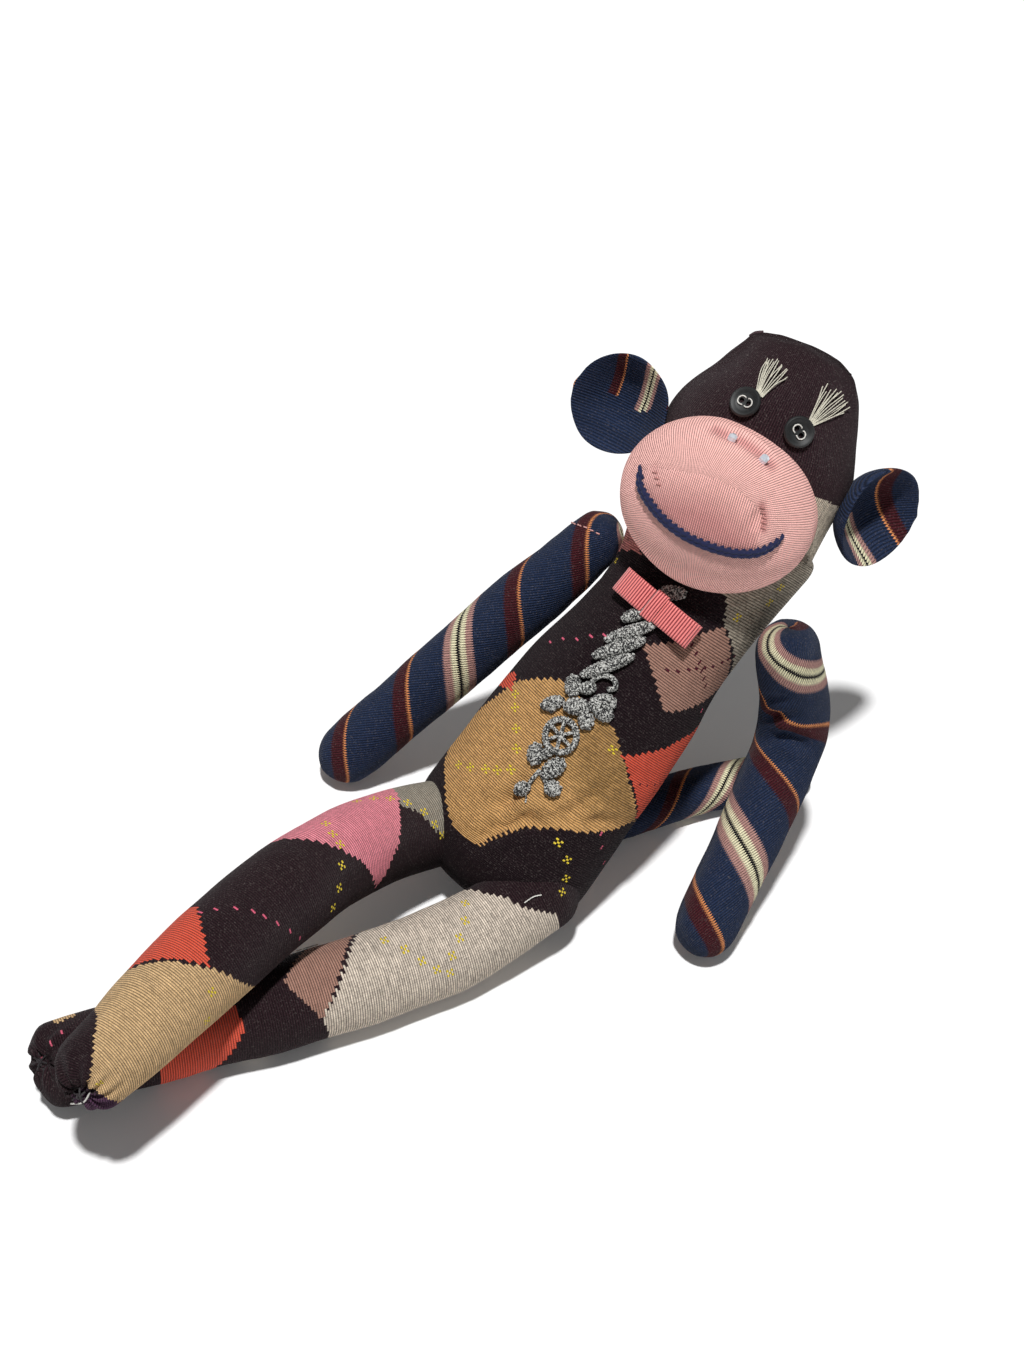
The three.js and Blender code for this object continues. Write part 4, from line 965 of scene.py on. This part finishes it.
def knit_cloth(name, colour, depth=0.30, gap_shade=0.42, crest_highlight=1.34, lint=0.20):
    """A knit material. colour is given the tree and the stitch coordinates, and returns a colour and how much
    it varies. gap_shade is the brightness of the painted shade between the yarns, and the number after it the
    brightness of the painted highlight on their crests."""
    made, tree, shader = material(name)
    uv = node(tree, "ShaderNodeUVMap", uv_map="stitches")
    u_v = node(tree, "ShaderNodeSeparateXYZ", {0: uv})
    u, v = u_v.outputs["X"], u_v.outputs["Y"]
    half = node(tree, "ShaderNodeMath", {0: u, 1: 0.5}, operation="PINGPONG")
    slope = node(tree, "ShaderNodeMath", {0: half, 1: 1.6, 2: v}, operation="MULTIPLY_ADD")
    slope = node(tree, "ShaderNodeMath", {0: arches(tree, slope), 1: 0.4, 2: 0.6}, operation="MULTIPLY_ADD")
    stitch = node(tree, "ShaderNodeMath", {0: arches(tree, u), 1: slope}, operation="MULTIPLY")

    cell = node(tree, "ShaderNodeVectorMath", {0: uv}, operation="FLOOR")
    speck = node(tree, "ShaderNodeTexWhiteNoise", {"Vector": cell}, noise_dimensions="2D")
    streak_at = node(tree, "ShaderNodeVectorMath", {0: uv, 1: (0.9, 0.14, 1)}, operation="MULTIPLY")
    streak = node(tree, "ShaderNodeTexNoise", {"Vector": streak_at, "Scale": 1.0, "Detail": 2.0})
    mixed = node(tree, "ShaderNodeMath", {0: speck, 1: 0.35, 2: streak}, operation="MULTIPLY_ADD")
    shade = node(tree, "ShaderNodeMapRange", {"Value": mixed, "From Min": 0.30, "From Max": 1.05,
                                              "To Min": -0.6, "To Max": 0.6})
    base, amount = colour(tree, u, v)
    spread = node(tree, "ShaderNodeMath", {0: shade, 1: amount, 2: 1.0}, operation="MULTIPLY_ADD")
    # Painted shade between the yarns and painted highlight on their crests.
    gap = node(tree, "ShaderNodeMapRange", {"Value": stitch, "From Min": 0.12, "From Max": 0.80,
                                            "To Min": gap_shade, "To Max": crest_highlight})
    light = node(tree, "ShaderNodeMath", {0: spread, 1: gap}, operation="MULTIPLY")
    shaded = node(tree, "ShaderNodeVectorMath", {0: base, "Scale": light}, operation="SCALE")

    place = node(tree, "ShaderNodeTexCoord")
    fibre = node(tree, "ShaderNodeTexNoise", {"Vector": place.outputs["Object"], "Scale": FIBRES_PER_METRE,
                                              "Detail": 2.0})
    fibre = node(tree, "ShaderNodeMapRange", {"Value": fibre, "From Min": 0.56, "From Max": 0.74, "To Max": lint})
    fuzz = node(tree, "ShaderNodeMix", {0: fibre, 6: shaded, 7: LINT}, data_type="RGBA")
    dress(tree, shader, fuzz.outputs[2], stitch, depth,
          Roughness=0.95, Specular_IOR_Level=0.08, Sheen_Weight=0.04, Sheen_Roughness=0.5)
    return made


def from_chart(tree, u, v):
    yarn = node(tree, "ShaderNodeAttribute", attribute_name="yarn")
    return yarn.outputs["Color"], yarn.outputs["Alpha"]


def from_stripes(tree, u, v):
    """Bands across the wales, each a number of millimetres from the start of the repeat."""
    bands = [(0.0, "#c98252"), (0.9, "#40191f"), (6.0, "#212c44"), (24.0, "#c98252"), (24.9, "#40191f"),
             (30.0, "#212c44"), (42.0, "#a67f78"), (44.4, "#d8d2b0"), (46.5, "#121016"), (47.7, "#d8d2b0"),
             (50.0, "#a67f78"), (52.6, "#212c44")]
    zigzag = node(tree, "ShaderNodeMath", {0: u, 1: 0.5}, operation="PINGPONG")
    across = node(tree, "ShaderNodeMath", {0: zigzag, 1: 2.4, 2: v}, operation="MULTIPLY_ADD")
    repeat = STRIPE_REPEAT / (COURSE / MM)
    share = node(tree, "ShaderNodeMath", {0: across, 1: 1 / repeat}, operation="MULTIPLY")
    share = node(tree, "ShaderNodeMath", {0: share}, operation="FRACT")
    ramp = node(tree, "ShaderNodeValToRGB", {0: share})
    ramp.color_ramp.interpolation = "CONSTANT"
    for k, (start, colour) in enumerate(bands):
        stop = ramp.color_ramp.elements[k] if k < 2 else ramp.color_ramp.elements.new(0.999)
        stop.position, stop.color = start / STRIPE_REPEAT, linear(colour)
    return ramp.outputs[0], 0.30


def heel(tree, u, v):
    """Pink, with painted shade in the heel's cup below the nose ridge, in the crease between the beads and at the
    gussets.
    """
    cup_shade_share = node(tree, "ShaderNodeAttribute", attribute_name="painted_cup_shade")
    mix = node(tree, "ShaderNodeMix", {0: cup_shade_share.outputs["Fac"], 6: linear("#f8bfb7"), 7: linear("#c58583")},
               data_type="RGBA")
    return mix.outputs[2], 0.12


argyle_cloth = knit_cloth("argyle_wool_jersey", from_chart, gap_shade=0.34)
stripe_cloth = knit_cloth("striped_cotton_jersey", from_stripes)
head_cloth = knit_cloth("aubergine_cotton_jersey", from_chart, crest_highlight=1.9, lint=0.26)
muzzle_cloth = knit_cloth("pink_ribbed_heel", heel, depth=0.35, gap_shade=0.50, lint=0.04)
CLOTHS = {"torso": argyle_cloth, "leg_right": argyle_cloth, "leg_left": argyle_cloth, "head": head_cloth,
          "muzzle": muzzle_cloth}
for name, piece in KNITS.items():
    piece.data.materials.append(CLOTHS.get(name, stripe_cloth))

# %% [markdown]
# ## Yarn, thread and ribbon
# The small parts are yarn and thread, and round strands are their true shape. A curve with a bevel gives a
# strand of any thickness along a list of places, and becomes a mesh at once. Spun yarn is hairy and matte.
# The crochet yarn twists a black and a white ply together, and a fine cell pattern gives that mélange.

# %% Strands and their materials
def spun_yarn(name, colour, second=None, grain=0.5):
    """A matte yarn. A second colour is flecked through it, in grains of a size in millimetres."""
    made, tree, shader = material(name)
    place = node(tree, "ShaderNodeTexCoord")
    spread = {"Vector": place.outputs["Object"], "Scale": 1 / (grain * MM)}
    hairs = node(tree, "ShaderNodeTexNoise", {**spread, "Detail": 3.0})
    if second:
        flecks = node(tree, "ShaderNodeTexVoronoi", spread)
        fleck = node(tree, "ShaderNodeSeparateColor", {0: flecks.outputs["Color"]})
        share = node(tree, "ShaderNodeMapRange", {"Value": fleck, "From Min": 0.50, "From Max": 0.68})
    else:
        share = node(tree, "ShaderNodeMapRange", {"Value": hairs, "From Min": 0.3, "From Max": 0.7})
    dark = linear(colour) if second else [0.6 * c for c in linear(colour)[:3]] + [1]
    mix = node(tree, "ShaderNodeMix", {0: share, 6: dark, 7: linear(second or colour)}, data_type="RGBA")
    dress(tree, shader, mix.outputs[2], hairs, 0.2, 0.8, Roughness=0.9, Sheen_Weight=0.15)
    return made


CREAM_FLOSS = spun_yarn("cream_cotton_floss", "#e4dfcc", grain=0.8)
WHITE_THREAD = spun_yarn("white_cotton_thread", "#f0eee6", grain=0.6)
DARK_THREAD = spun_yarn("black_polyester_thread", "#241c20", grain=0.6)
NAVY_YARN = spun_yarn("navy_wool_yarn", "#121c4a", grain=0.7)
MELANGE = spun_yarn("black_and_white_crochet_yarn", "#1a1a1c", "#c9c9c4", grain=0.4)


def finished(name, mesh, cloth):
    """Links a mesh as a piece, with its faces turned outwards."""
    bm = bmesh.new()
    bm.from_mesh(mesh)
    bmesh.ops.recalc_face_normals(bm, faces=bm.faces)
    bm.to_mesh(mesh)
    bm.free()
    mesh.materials.clear()
    mesh.materials.append(cloth)
    piece = linked(name, mesh)
    print(name, len(mesh.polygons), "faces")
    return piece


def strands(name, lines, radius, cloth):
    """One piece of round threads. Each line is a list of places with a share of the radius."""
    curve = bpy.data.curves.new(name, "CURVE")
    curve.dimensions = "3D"
    curve.bevel_depth = radius * MM
    curve.bevel_resolution = 2
    curve.use_fill_caps = True
    for line in lines:
        spline = curve.splines.new("POLY")
        spline.points.add(len(line) - 1)
        for point, (place, share) in zip(spline.points, line):
            point.co, point.radius = (*place, 1), share
    laid = linked(name, curve)
    mesh = bpy.data.meshes.new_from_object(evaluated(laid))
    bpy.data.objects.remove(laid)
    mesh.shade_smooth()
    return finished(name, mesh, cloth)


def over(piece, pixels, lift, share=1.0, count=12):
    """A line of places over a piece along pixels, each lifted by millimetres."""
    spots = [met(piece, x, y) for x, y in pixels]
    lifts = lift if isinstance(lift, (list, tuple)) else [lift] * len(spots)
    line, _, _ = curve_through([spot + out * high * MM for (spot, out, _), high in zip(spots, lifts)], count)
    return [(Vector(place), share) for place in line]


# %% [markdown]
# ## Eyes
# The eyes are two-hole black buttons with a raised rim, sewn on with white thread. The rim's outline is spun
# round an axis, and the two holes are cut by a Boolean, so the thread can be seen to go down into them. A
# tassel of cream floss is caught under the top of each button for the lashes.

# %% Buttons
BUTTON_RADIUS, HOLE_AT = 5.8, 1.45  # millimetres


def spun(outline, steps, closed=False):
    """A bmesh from an outline of radii and heights in millimetres, spun round its axis."""
    bm = bmesh.new()
    verts = [bm.verts.new((r * MM, 0, h * MM)) for r, h in outline]
    edges = [bm.edges.new(pair) for pair in zip(verts, verts[1:] + verts[:closed])]
    bmesh.ops.spin(bm, geom=verts + edges, cent=(0, 0, 0), axis=(0, 0, 1), dvec=(0, 0, 0),
                   angle=2 * math.pi, steps=steps, use_merge=True, use_duplicate=False)
    return bm


def button(name, centre, out, along):
    """A two-hole button. along is the way from one hole to the other."""
    outline = [(0, 1.0), (3.2, 1.0), (3.9, 1.25), (4.6, 1.75), (5.3, 1.85), (5.8, 1.55), (6.0, 1.0),
               (5.8, 0.35), (5.0, 0.0), (0, 0.0)]
    bm = spun([(r * BUTTON_RADIUS / 6, h - 0.9) for r, h in outline], 56)
    bmesh.ops.remove_doubles(bm, verts=bm.verts, dist=1e-6)
    bmesh.ops.recalc_face_normals(bm, faces=bm.faces)
    blank = linked(name + "_blank", mesh_of(bm, name))
    cutters = []
    for x in (-HOLE_AT, HOLE_AT):
        bm = bmesh.new()
        bmesh.ops.create_cone(bm, cap_ends=True, segments=24, radius1=0.8 * MM, radius2=1.05 * MM, depth=8 * MM,
                              matrix=Matrix.Translation((x * MM, 0, 0)))
        cutters.append(linked("thread_hole", mesh_of(bm, "thread_hole")))
        drill = blank.modifiers.new("drill", "BOOLEAN")
        drill.operation, drill.solver, drill.object = "DIFFERENCE", "EXACT", cutters[-1]
    mesh = bpy.data.meshes.new_from_object(evaluated(blank))
    for used in cutters + [blank]:
        bpy.data.objects.remove(used)
    across = out.cross(along).normalized()
    mesh.transform(placed(centre, across.cross(out), across, out))
    mesh.shade_smooth()
    mesh.set_sharp_from_angle(angle=math.radians(40))
    return finished(name, mesh, BUTTON_RESIN)


BUTTON_RESIN, tree, shader = material("matte_black_cast_resin")  # tumbled after casting: dull, faintly mottled
place = node(tree, "ShaderNodeTexCoord")
cloud = node(tree, "ShaderNodeTexNoise", {"Vector": place.outputs["Object"], "Scale": 700.0, "Detail": 4.0})
tone = node(tree, "ShaderNodeMix", {0: cloud, 6: linear("#0d0e0f"), 7: linear("#222425")},
            data_type="RGBA")
dress(tree, shader, tone.outputs[2], cloud, 0.05, Roughness=0.55)

DRESSED = []  # each is a piece, its body, its slot and the CAD nodes that it stands for


def on_surface(way, out):
    """The part of a way that lies along a surface, whose way out is given."""
    return way - out * way.dot(out)


def middle_of(name):
    low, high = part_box(name)
    return (Vector(low) + Vector(high)) / 2


TURNED = {"right": -4, "left": -30}  # degrees
EYES = {"right": (746, 403), "left": (798, 432)}
NOSTRILS = {"right": (731.5, 440.5), "left": (762, 461.5)}
LASHES = {  # the two ends of each tassel's root, and the tips of its strands
    "right": ([(757, 390), (764, 397)],
              [(766, 362), (771, 361), (776, 362), (782, 365), (787, 371), (790, 379)]),
    "left": ([(808, 421), (815, 425)],
             [(822, 386), (830, 390), (835, 393), (840, 397), (845, 404), (845, 410)])}
rng = np.random.default_rng(7)
for side in ("right", "left"):
    skin, out, _ = met(head, *EYES[side])
    aside = (skin - middle_of("eye_button_" + side)).length
    print("eye button", side, "is", round(aside / MM, 1), "mm from its solid")
    along = on_surface(HEAD_ACROSS, out).normalized()
    along = Matrix.Rotation(math.radians(TURNED[side]), 3, out) @ along
    across = out.cross(along)
    seat = skin + out * 1.2 * MM
    piece = button("eye_button_" + side + "_turned", seat, out, along)
    DRESSED.append((piece, "head", "button", ["eye_button_" + side]))

    loops = []
    for way in (-1, 1):
        loop = []
        for k in range(17):
            angle = math.radians(-128 + 16 * k)
            reach = way * (1.25 + 1.55 * math.cos(angle))
            low = -1.4 if k in (0, 16) else 0.5
            loop.append((seat + (along * reach + across * 1.65 * math.sin(angle) + out * low) * MM, 1.0))
        loops.append(loop)
    piece = strands("eye_thread_" + side + "_loops", loops, 0.26, WHITE_THREAD)
    DRESSED.append((piece, "head", "cream_thread", ["eye_thread_" + side]))

    (root_a, root_b), tips = LASHES[side]
    tuft = []
    for k in range(15):
        share = k / 14
        at = share * (len(tips) - 1)
        tip = np.array([np.interp(at, range(len(tips)), [t[i] for t in tips]) for i in (0, 1)])
        root = np.array(root_a) * (1 - share) + np.array(root_b) * share
        tip = root + (tip - root) * rng.uniform(0.86, 1.04) + rng.normal(0, 0.8, 2)
        bend = (root + tip) / 2 + rng.normal(0, 1.1, 2)
        tuft.append(over(head, [root - (tip - root) * 0.08, bend, tip], [0.6, rng.uniform(1.0, 2.4),
                                                                       rng.uniform(0.5, 2.2)]))
    piece = strands("lash_tassel_" + side + "_floss", tuft, 0.19, CREAM_FLOSS)
    DRESSED.append((piece, "head", "cream_thread", ["lash_tassel_" + side]))

# %% [markdown]
# ## Nostrils and mouth
# The nostrils are two faceted glass beads with a silver lining, pulled in so that the cloth puckers between
# them. A bead's outline is spun in eight steps and keeps its flat facets. The mouth is a line of stem stitch
# in thick two-ply yarn: each stitch starts beside the one before and lies a little aslant, so the strands of
# each stitch are laid one by one along the smile.

# %% Beads and mouth
SILVER_BEAD, tree, shader = material("silver_lined_glass_bead")  # cut glass over foil: bright, hard glints
place = node(tree, "ShaderNodeTexCoord")
tint = node(tree, "ShaderNodeTexNoise", {"Vector": place.outputs["Object"], "Scale": 500.0})
tone = node(tree, "ShaderNodeMix", {0: tint, 6: linear("#ccd8ea"), 7: linear("#ffffff")},
            data_type="RGBA")
dress(tree, shader, tone.outputs[2], Metallic=0.35, Roughness=0.12, Coat_Weight=0.8)

for side in ("right", "left"):
    skin, out, _ = met(muzzle, *NOSTRILS[side])
    along = on_surface(HEAD_ACROSS, out).normalized()
    bm = spun([(0.5, -1.5), (1.4, -1.5), (2.0, -0.65), (2.0, 0.65), (1.4, 1.5), (0.5, 1.5)], 8, closed=True)
    mesh = mesh_of(bm, "nostril_bead_" + side + "_cut")
    mesh.transform(placed(skin + out * 1.0 * MM, out, along.cross(out), along))
    DRESSED.append((finished(mesh.name, mesh, SILVER_BEAD), "head", "bead", ["nostril_bead_" + side]))

STEM_STITCH, SLANT = 2.6 * MM, math.radians(26)
spots = [met(muzzle, x, y)[0] for x, y in SMILE]
line, ways, length = curve_through(spots, 400)
count = round(length / STEM_STITCH)
stitches = []
for k in range(count + 1):
    at = min(399, round(k / count * 399))
    place, out, _, _ = trees["muzzle_knit"].find_nearest(Vector(line[at]))
    way = Vector(ways[at])
    across = out.cross(way).normalized()
    taper = min(1, 0.55 + 0.15 * min(k, count - k))
    slanted = way * math.cos(SLANT) + across * math.sin(SLANT)
    aside = out.cross(slanted).normalized()
    for ply in (-1, 1):
        stitch = []
        for m in range(9):
            s = m / 4 - 1
            twist = ply * math.cos(s * math.pi * 0.9)
            lift = 0.75 * (1 - s ** 4) + 0.35 * ply * math.sin(s * math.pi * 0.9)
            stitch.append((place + (slanted * 3.0 * s + aside * 0.5 * twist * taper + out * lift) * MM,
                           (1 - 0.55 * s ** 4) * taper))
        stitches.append(stitch)
piece = strands("mouth_stem_stitch", stitches, 0.9, NAVY_YARN)
DRESSED.append((piece, "head", "mouth_yarn", ["mouth_yarn"]))

# %% [markdown]
# ## Crochet trim
# The trim down the chest is crocheted from thick grey yarn: a rope of slanted lobes, a flower, a spoked ring,
# and petals with bobbles. Crochet works its yarn round and round, so each lobe is one strand wound over a
# plump oval from tip to tip. Close turns hide the empty inside. The photograph's pixels give each lobe's two
# tips, and it lies on the body there.

# %% Crochet
CROCHET = 0.85  # radius of the yarn, in millimetres


def wound(tip_a, tip_b, breadth, thick, pitch=1.45):
    """One strand wound over an oval between two tips, given as pixels. Sizes are half, in millimetres."""
    (x0, y0), (x1, y1) = tip_a, tip_b
    centre, out, _ = met(torso, (x0 + x1) / 2, (y0 + y1) / 2)
    long = on_surface(met(torso, x1, y1)[0] - met(torso, x0, y0)[0], out)
    half = long.length / 2 / MM
    long.normalize()
    wide = out.cross(long)
    turns = max(3, round(2 * half / pitch))
    steps = turns * 14
    line = []
    for k in range(steps + 1):
        s = 1.96 * k / steps - 0.98
        ring, angle = math.sqrt(1 - s * s), 2 * math.pi * turns * k / steps
        spot = (long * s * half + wide * (breadth - CROCHET * 0.6) * ring * math.cos(angle)
                + out * ((thick - CROCHET * 0.6) * ring * math.sin(angle) + thick * 0.8))
        line.append((centre + spot * MM, 1.0))
    return line


def crocheted(name, lobes, extra, *nodes):
    piece = strands(name, [wound(*lobe) for lobe in lobes] + extra, CROCHET, MELANGE)
    DRESSED.append((piece, "torso", "crochet", list(nodes)))


crocheted("crochet_rope", [
    ((660, 592), (686, 594), 2.6, 0.9), ((624, 620), (652, 610), 2.4, 2.0), ((607, 641), (656, 625), 2.5, 2.4),
    ((595, 657), (646, 640), 2.5, 2.4), ((583, 676), (634, 656), 2.4, 2.3)],
    [over(torso, [(590, 690), (596, 680), (606, 676), (615, 680), (616, 688), (608, 690)], 1.6, 1.2, 30)],
    "trim_rope")
crocheted("crochet_flower", [
    ((574, 697), (575, 676), 3.1, 2.0), ((544, 707), (565, 701), 2.6, 1.9), ((566, 706), (590, 708), 3.2, 2.2),
    ((590, 706), (616, 702), 3.6, 2.2), ((586, 712), (588, 729), 3.0, 2.0), ((596, 708), (612, 718), 3.0, 2.0),
    ((582, 690), (596, 688), 2.4, 2.0), ((556, 703), (552, 712), 1.8, 1.6)], [], "trim_leaf_cluster")

spot, out, _ = met(torso, 562, 736)
across = on_surface(met(torso, 581, 738)[0] - met(torso, 543, 734)[0], out).normalized()
upwards = out.cross(across)
hub = spot + out * 1.4 * MM
RING_RADIUS, RING_TURNS, STEPS = 6.1, 34, 10  # the yarn goes round the ring's cord 34 times
rim = []
for k in range(RING_TURNS * STEPS + 1):
    turn, wrap = 2 * math.pi * k / (RING_TURNS * STEPS), 2 * math.pi * k / STEPS
    reach = RING_RADIUS + 0.75 * math.cos(wrap)
    rim.append((hub + (across * math.cos(turn) * reach + upwards * math.sin(turn) * reach
                       + out * 0.75 * math.sin(wrap)) * MM, 0.72))
spokes = [[(hub + (across * math.cos(turn) + upwards * math.sin(turn)) * reach * MM
            + out * (0.5 - reach * 0.06) * MM, 0.85) for reach in (0, 2, 4, 6)]
          for turn in (math.radians(20 + 60 * k) for k in range(6))]
crocheted("crochet_ring", [((559, 735), (565, 738), 1.6, 1.0)], [rim] + spokes, "trim_ring")
crocheted("crochet_petals", [
    ((536, 765), (538, 744), 3.2, 2.1), ((544, 775), (565, 761), 3.3, 2.2), ((540, 757), (552, 752), 1.8, 1.5),
    ((519, 791), (531, 785), 2.6, 2.2), ((546, 787), (561, 789), 3.0, 2.3)],
    [over(torso, [(541, 770), (534, 778), (530, 785)], 1.0, 1.0, 10),
     over(torso, [(541, 772), (545, 780), (549, 786)], 1.0, 1.0, 10),
     over(torso, [(525, 791), (527, 797), (526, 803)], 0.7, 0.4, 10)], "trim_petals")

# %% [markdown]
# ## Bow
# The bow is a flat bow of coral grosgrain ribbon. One length is folded to the middle from both ends, and a
# short piece goes round the middle. Grosgrain has ribs across its width, which its own UV map counts in
# millimetres. The ribbon is a grid that follows its folded path, and Solidify gives it a thickness.

# %% Bow
ROWS = 159  # faces along a ribbon


def ribbon(name, path, across, width, turned=False):
    """A ribbon of a width in millimetres along a path of places. across is the way of its width, and turned
    says that its ribs run along it."""
    line, _, length = curve_through(path, ROWS + 1)
    mesh, u, v = grid_mesh(name, 8, ROWS)
    count_out(mesh, "ribs", u * width, v * length / MM, turned)
    co = line[np.round(v * ROWS).astype(int)] + ((u - 0.5) * width * MM)[:, None] * np.array(across)
    mesh.vertices.foreach_set("co", co.ravel())
    mesh.shade_smooth()
    mesh.materials.append(GROSGRAIN)
    piece = linked(name, mesh)
    solid = piece.modifiers.new("solid", "SOLIDIFY")
    solid.thickness, solid.offset = 0.4 * MM, 0
    print(name, round(length / MM, 1), "mm long")
    return piece, length


RIB = 1.12  # millimetres from rib to rib
GROSGRAIN, tree, shader = material("coral_polyester_grosgrain")  # woven ribs: soft stripes of gloss and shade
ribs = node(tree, "ShaderNodeUVMap", uv_map="ribs")
along = node(tree, "ShaderNodeSeparateXYZ", {0: ribs})
wave = arches(tree, along.outputs["Y"], RIB)
tone = node(tree, "ShaderNodeMapRange", {"Value": wave, "From Min": 0.3, "From Max": 0.95})
# Painted shade between the ribs and a painted highlight on their crests.
painted_rib_shade = node(tree, "ShaderNodeMix", {0: tone, 6: linear("#8a1f2b"), 7: linear("#f68a86")}, data_type="RGBA")
dress(tree, shader, painted_rib_shade.outputs[2], wave, 0.3, Roughness=0.5, Sheen_Weight=0.2)

knot, out, _ = met(torso, 655, 607)
level_at = knot + out * 3 * MM


def on_plane(x, y):
    way = pixel_ray(x, y)
    return eye + way * ((level_at - eye).dot(out) / way.dot(out))


one_end, other_end = on_plane(619.5, 577), on_plane(690.3, 636)
long = (other_end - one_end).normalized()
wide = out.cross(long)
middle = (other_end + one_end) / 2 - out * 3 * MM
side_view = [(0, 2.6), (8, 2.2), (15, 1.4), (17.2, 1.6), (17.9, 2.6), (17.2, 3.6), (15, 4.2), (8, 4.5),
             (4, 3.7), (2, 3.0), (0, 2.9)]
folded = side_view + [(-s, h) for s, h in side_view[::-1][1:]]
folded = [middle + (long * s + out * (h - s * s / 100)) * MM for s, h in folded]  # it follows the chest's curve
bow, bow_length = ribbon("ribbon_bow", folded, wide, 10)
DRESSED.append((bow, "torso", "ribbon", ["bow_loops"]))
round_it = [(0, 1.6), (-4.8, 1.7), (-5.6, 2.2), (-5.6, 3.1), (-5.0, 3.9), (0, 4.3), (5.0, 3.9), (5.6, 3.1),
            (5.6, 2.2), (4.8, 1.7), (0.2, 1.55)]
round_it = [middle + (wide * s + out * h) * MM for s, h in round_it]
wrap, _ = ribbon("ribbon_wrap", round_it, long, 5.2, turned=True)
DRESSED.append((wrap, "torso", "ribbon", ["bow_wrap"]))

# %% [markdown]
# ## Seams and loose threads
# The end of the toe seam makes a low ridge at the crown's corner. Each foot is closed by a gathering thread,
# whose stitches run in to a knot, and a few white thread ends were never trimmed.

# %% Seams and threads
crown = [trees["head_knit"].find_nearest(on_head(x, 0, z))[0]
         for x, z in ((-26, 69), (-25, 72.5), (-22, 75))]
seam_line, _, _ = curve_through(crown, 60)
piece = strands("toe_seam", [[(spot, 1.0 + 0.2 * (k % 2)) for k, spot in enumerate(seam_line)]], 0.7,
                spun_yarn("aubergine_overlock_thread", "#4a343a", grain=0.6))
DRESSED.append((piece, "head", "head_knit", []))
bars = [over(muzzle, [(x - 2.2, y), (x + 2.2, y + 1.2)], 0.25, 0.8, 4)
        for x, y in ((655, 472), (657, 478), (659, 484))]
bars += [over(muzzle, [(x - 2.6, y - 1), (x + 2.6, y + 1)], 0.25, 0.8, 4)
         for x, y in ((762, 508), (763, 513), (764, 518), (764, 523), (763, 528))]
piece = strands("heel_gusset_stitches", bars, 0.3, spun_yarn("dusky_pink_thread", "#c98a84", grain=0.6))
DRESSED.append((piece, "head", "muzzle_knit", []))
piece = strands("shoulder_stitches", [over(arm_right, [(x, y), (x + 3.5, y + 1.5)], 0.35, 1.0, 4)
                                      for x, y in ((572, 523), (578, 525), (584, 527), (590, 530), (596, 533))],
                0.3, spun_yarn("pale_pink_thread", "#dca39c", grain=0.6))
DRESSED.append((piece, "arm_right", "cream_thread", []))
for side, leg in (("right", leg_right), ("left", leg_left)):
    x, y = TOES[side]
    gathers = [over(leg, [(x, y), (x + 7 * math.cos(a), y + 9 * math.sin(a))], 0.3, 0.8, 5)
               for a in (math.radians(51 * k + 10) for k in range(7))]
    out = met(leg, x, y)[1]
    coil = [(met(leg, x + 2 * math.cos(k), y + 2 * math.sin(k))[0] + out * (0.4 + k * 0.06) * MM, 1.3)
            for k in range(14)]
    piece = strands("foot_gather_" + side + "_stitches", gathers + [coil], 0.4, DARK_THREAD)
    DRESSED.append((piece, "leg_" + side, "dark_thread", ["foot_gather_" + side]))
piece = strands("loose_threads_leg_left", [
    over(leg_left, [(296, 950), (305, 944), (316, 936)], 0.5), over(leg_left, [(300, 946), (308, 950)], 0.6),
    over(leg_left, [(524, 903), (533, 897), (541, 895)], 0.7)], 0.22, WHITE_THREAD)
DRESSED.append((piece, "leg_left", "cream_thread", []))
piece = strands("loose_thread_leg_right", [
    over(leg_right, [(71, 1103), (80, 1099), (91, 1093)], [1.2, 1.6, 0.4])], 0.3, WHITE_THREAD)
DRESSED.append((piece, "leg_right", "cream_thread", []))

# %% [markdown]
# ## On the skeleton
# Each knitted piece stands for the CAD cover and stuffing of its body, and rides on that body. The right ear's
# root is sewn down, and its piece keeps its place baked into its mesh and rides on no body.

# %% Bodies
for name, piece in KNITS.items():
    if name == "ear_right":
        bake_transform(piece)
    else:
        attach(piece, "head" if name == "muzzle" else name)
    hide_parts(name + "_cover", name + "_stuffing")
for piece, body, slot, nodes in DRESSED:
    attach(piece, body)
    if nodes:
        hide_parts(*nodes)

# %% [markdown]
# ## Last update
# The view layer is brought up to date once every piece is placed.

# %% Last update
bpy.context.view_layer.update()
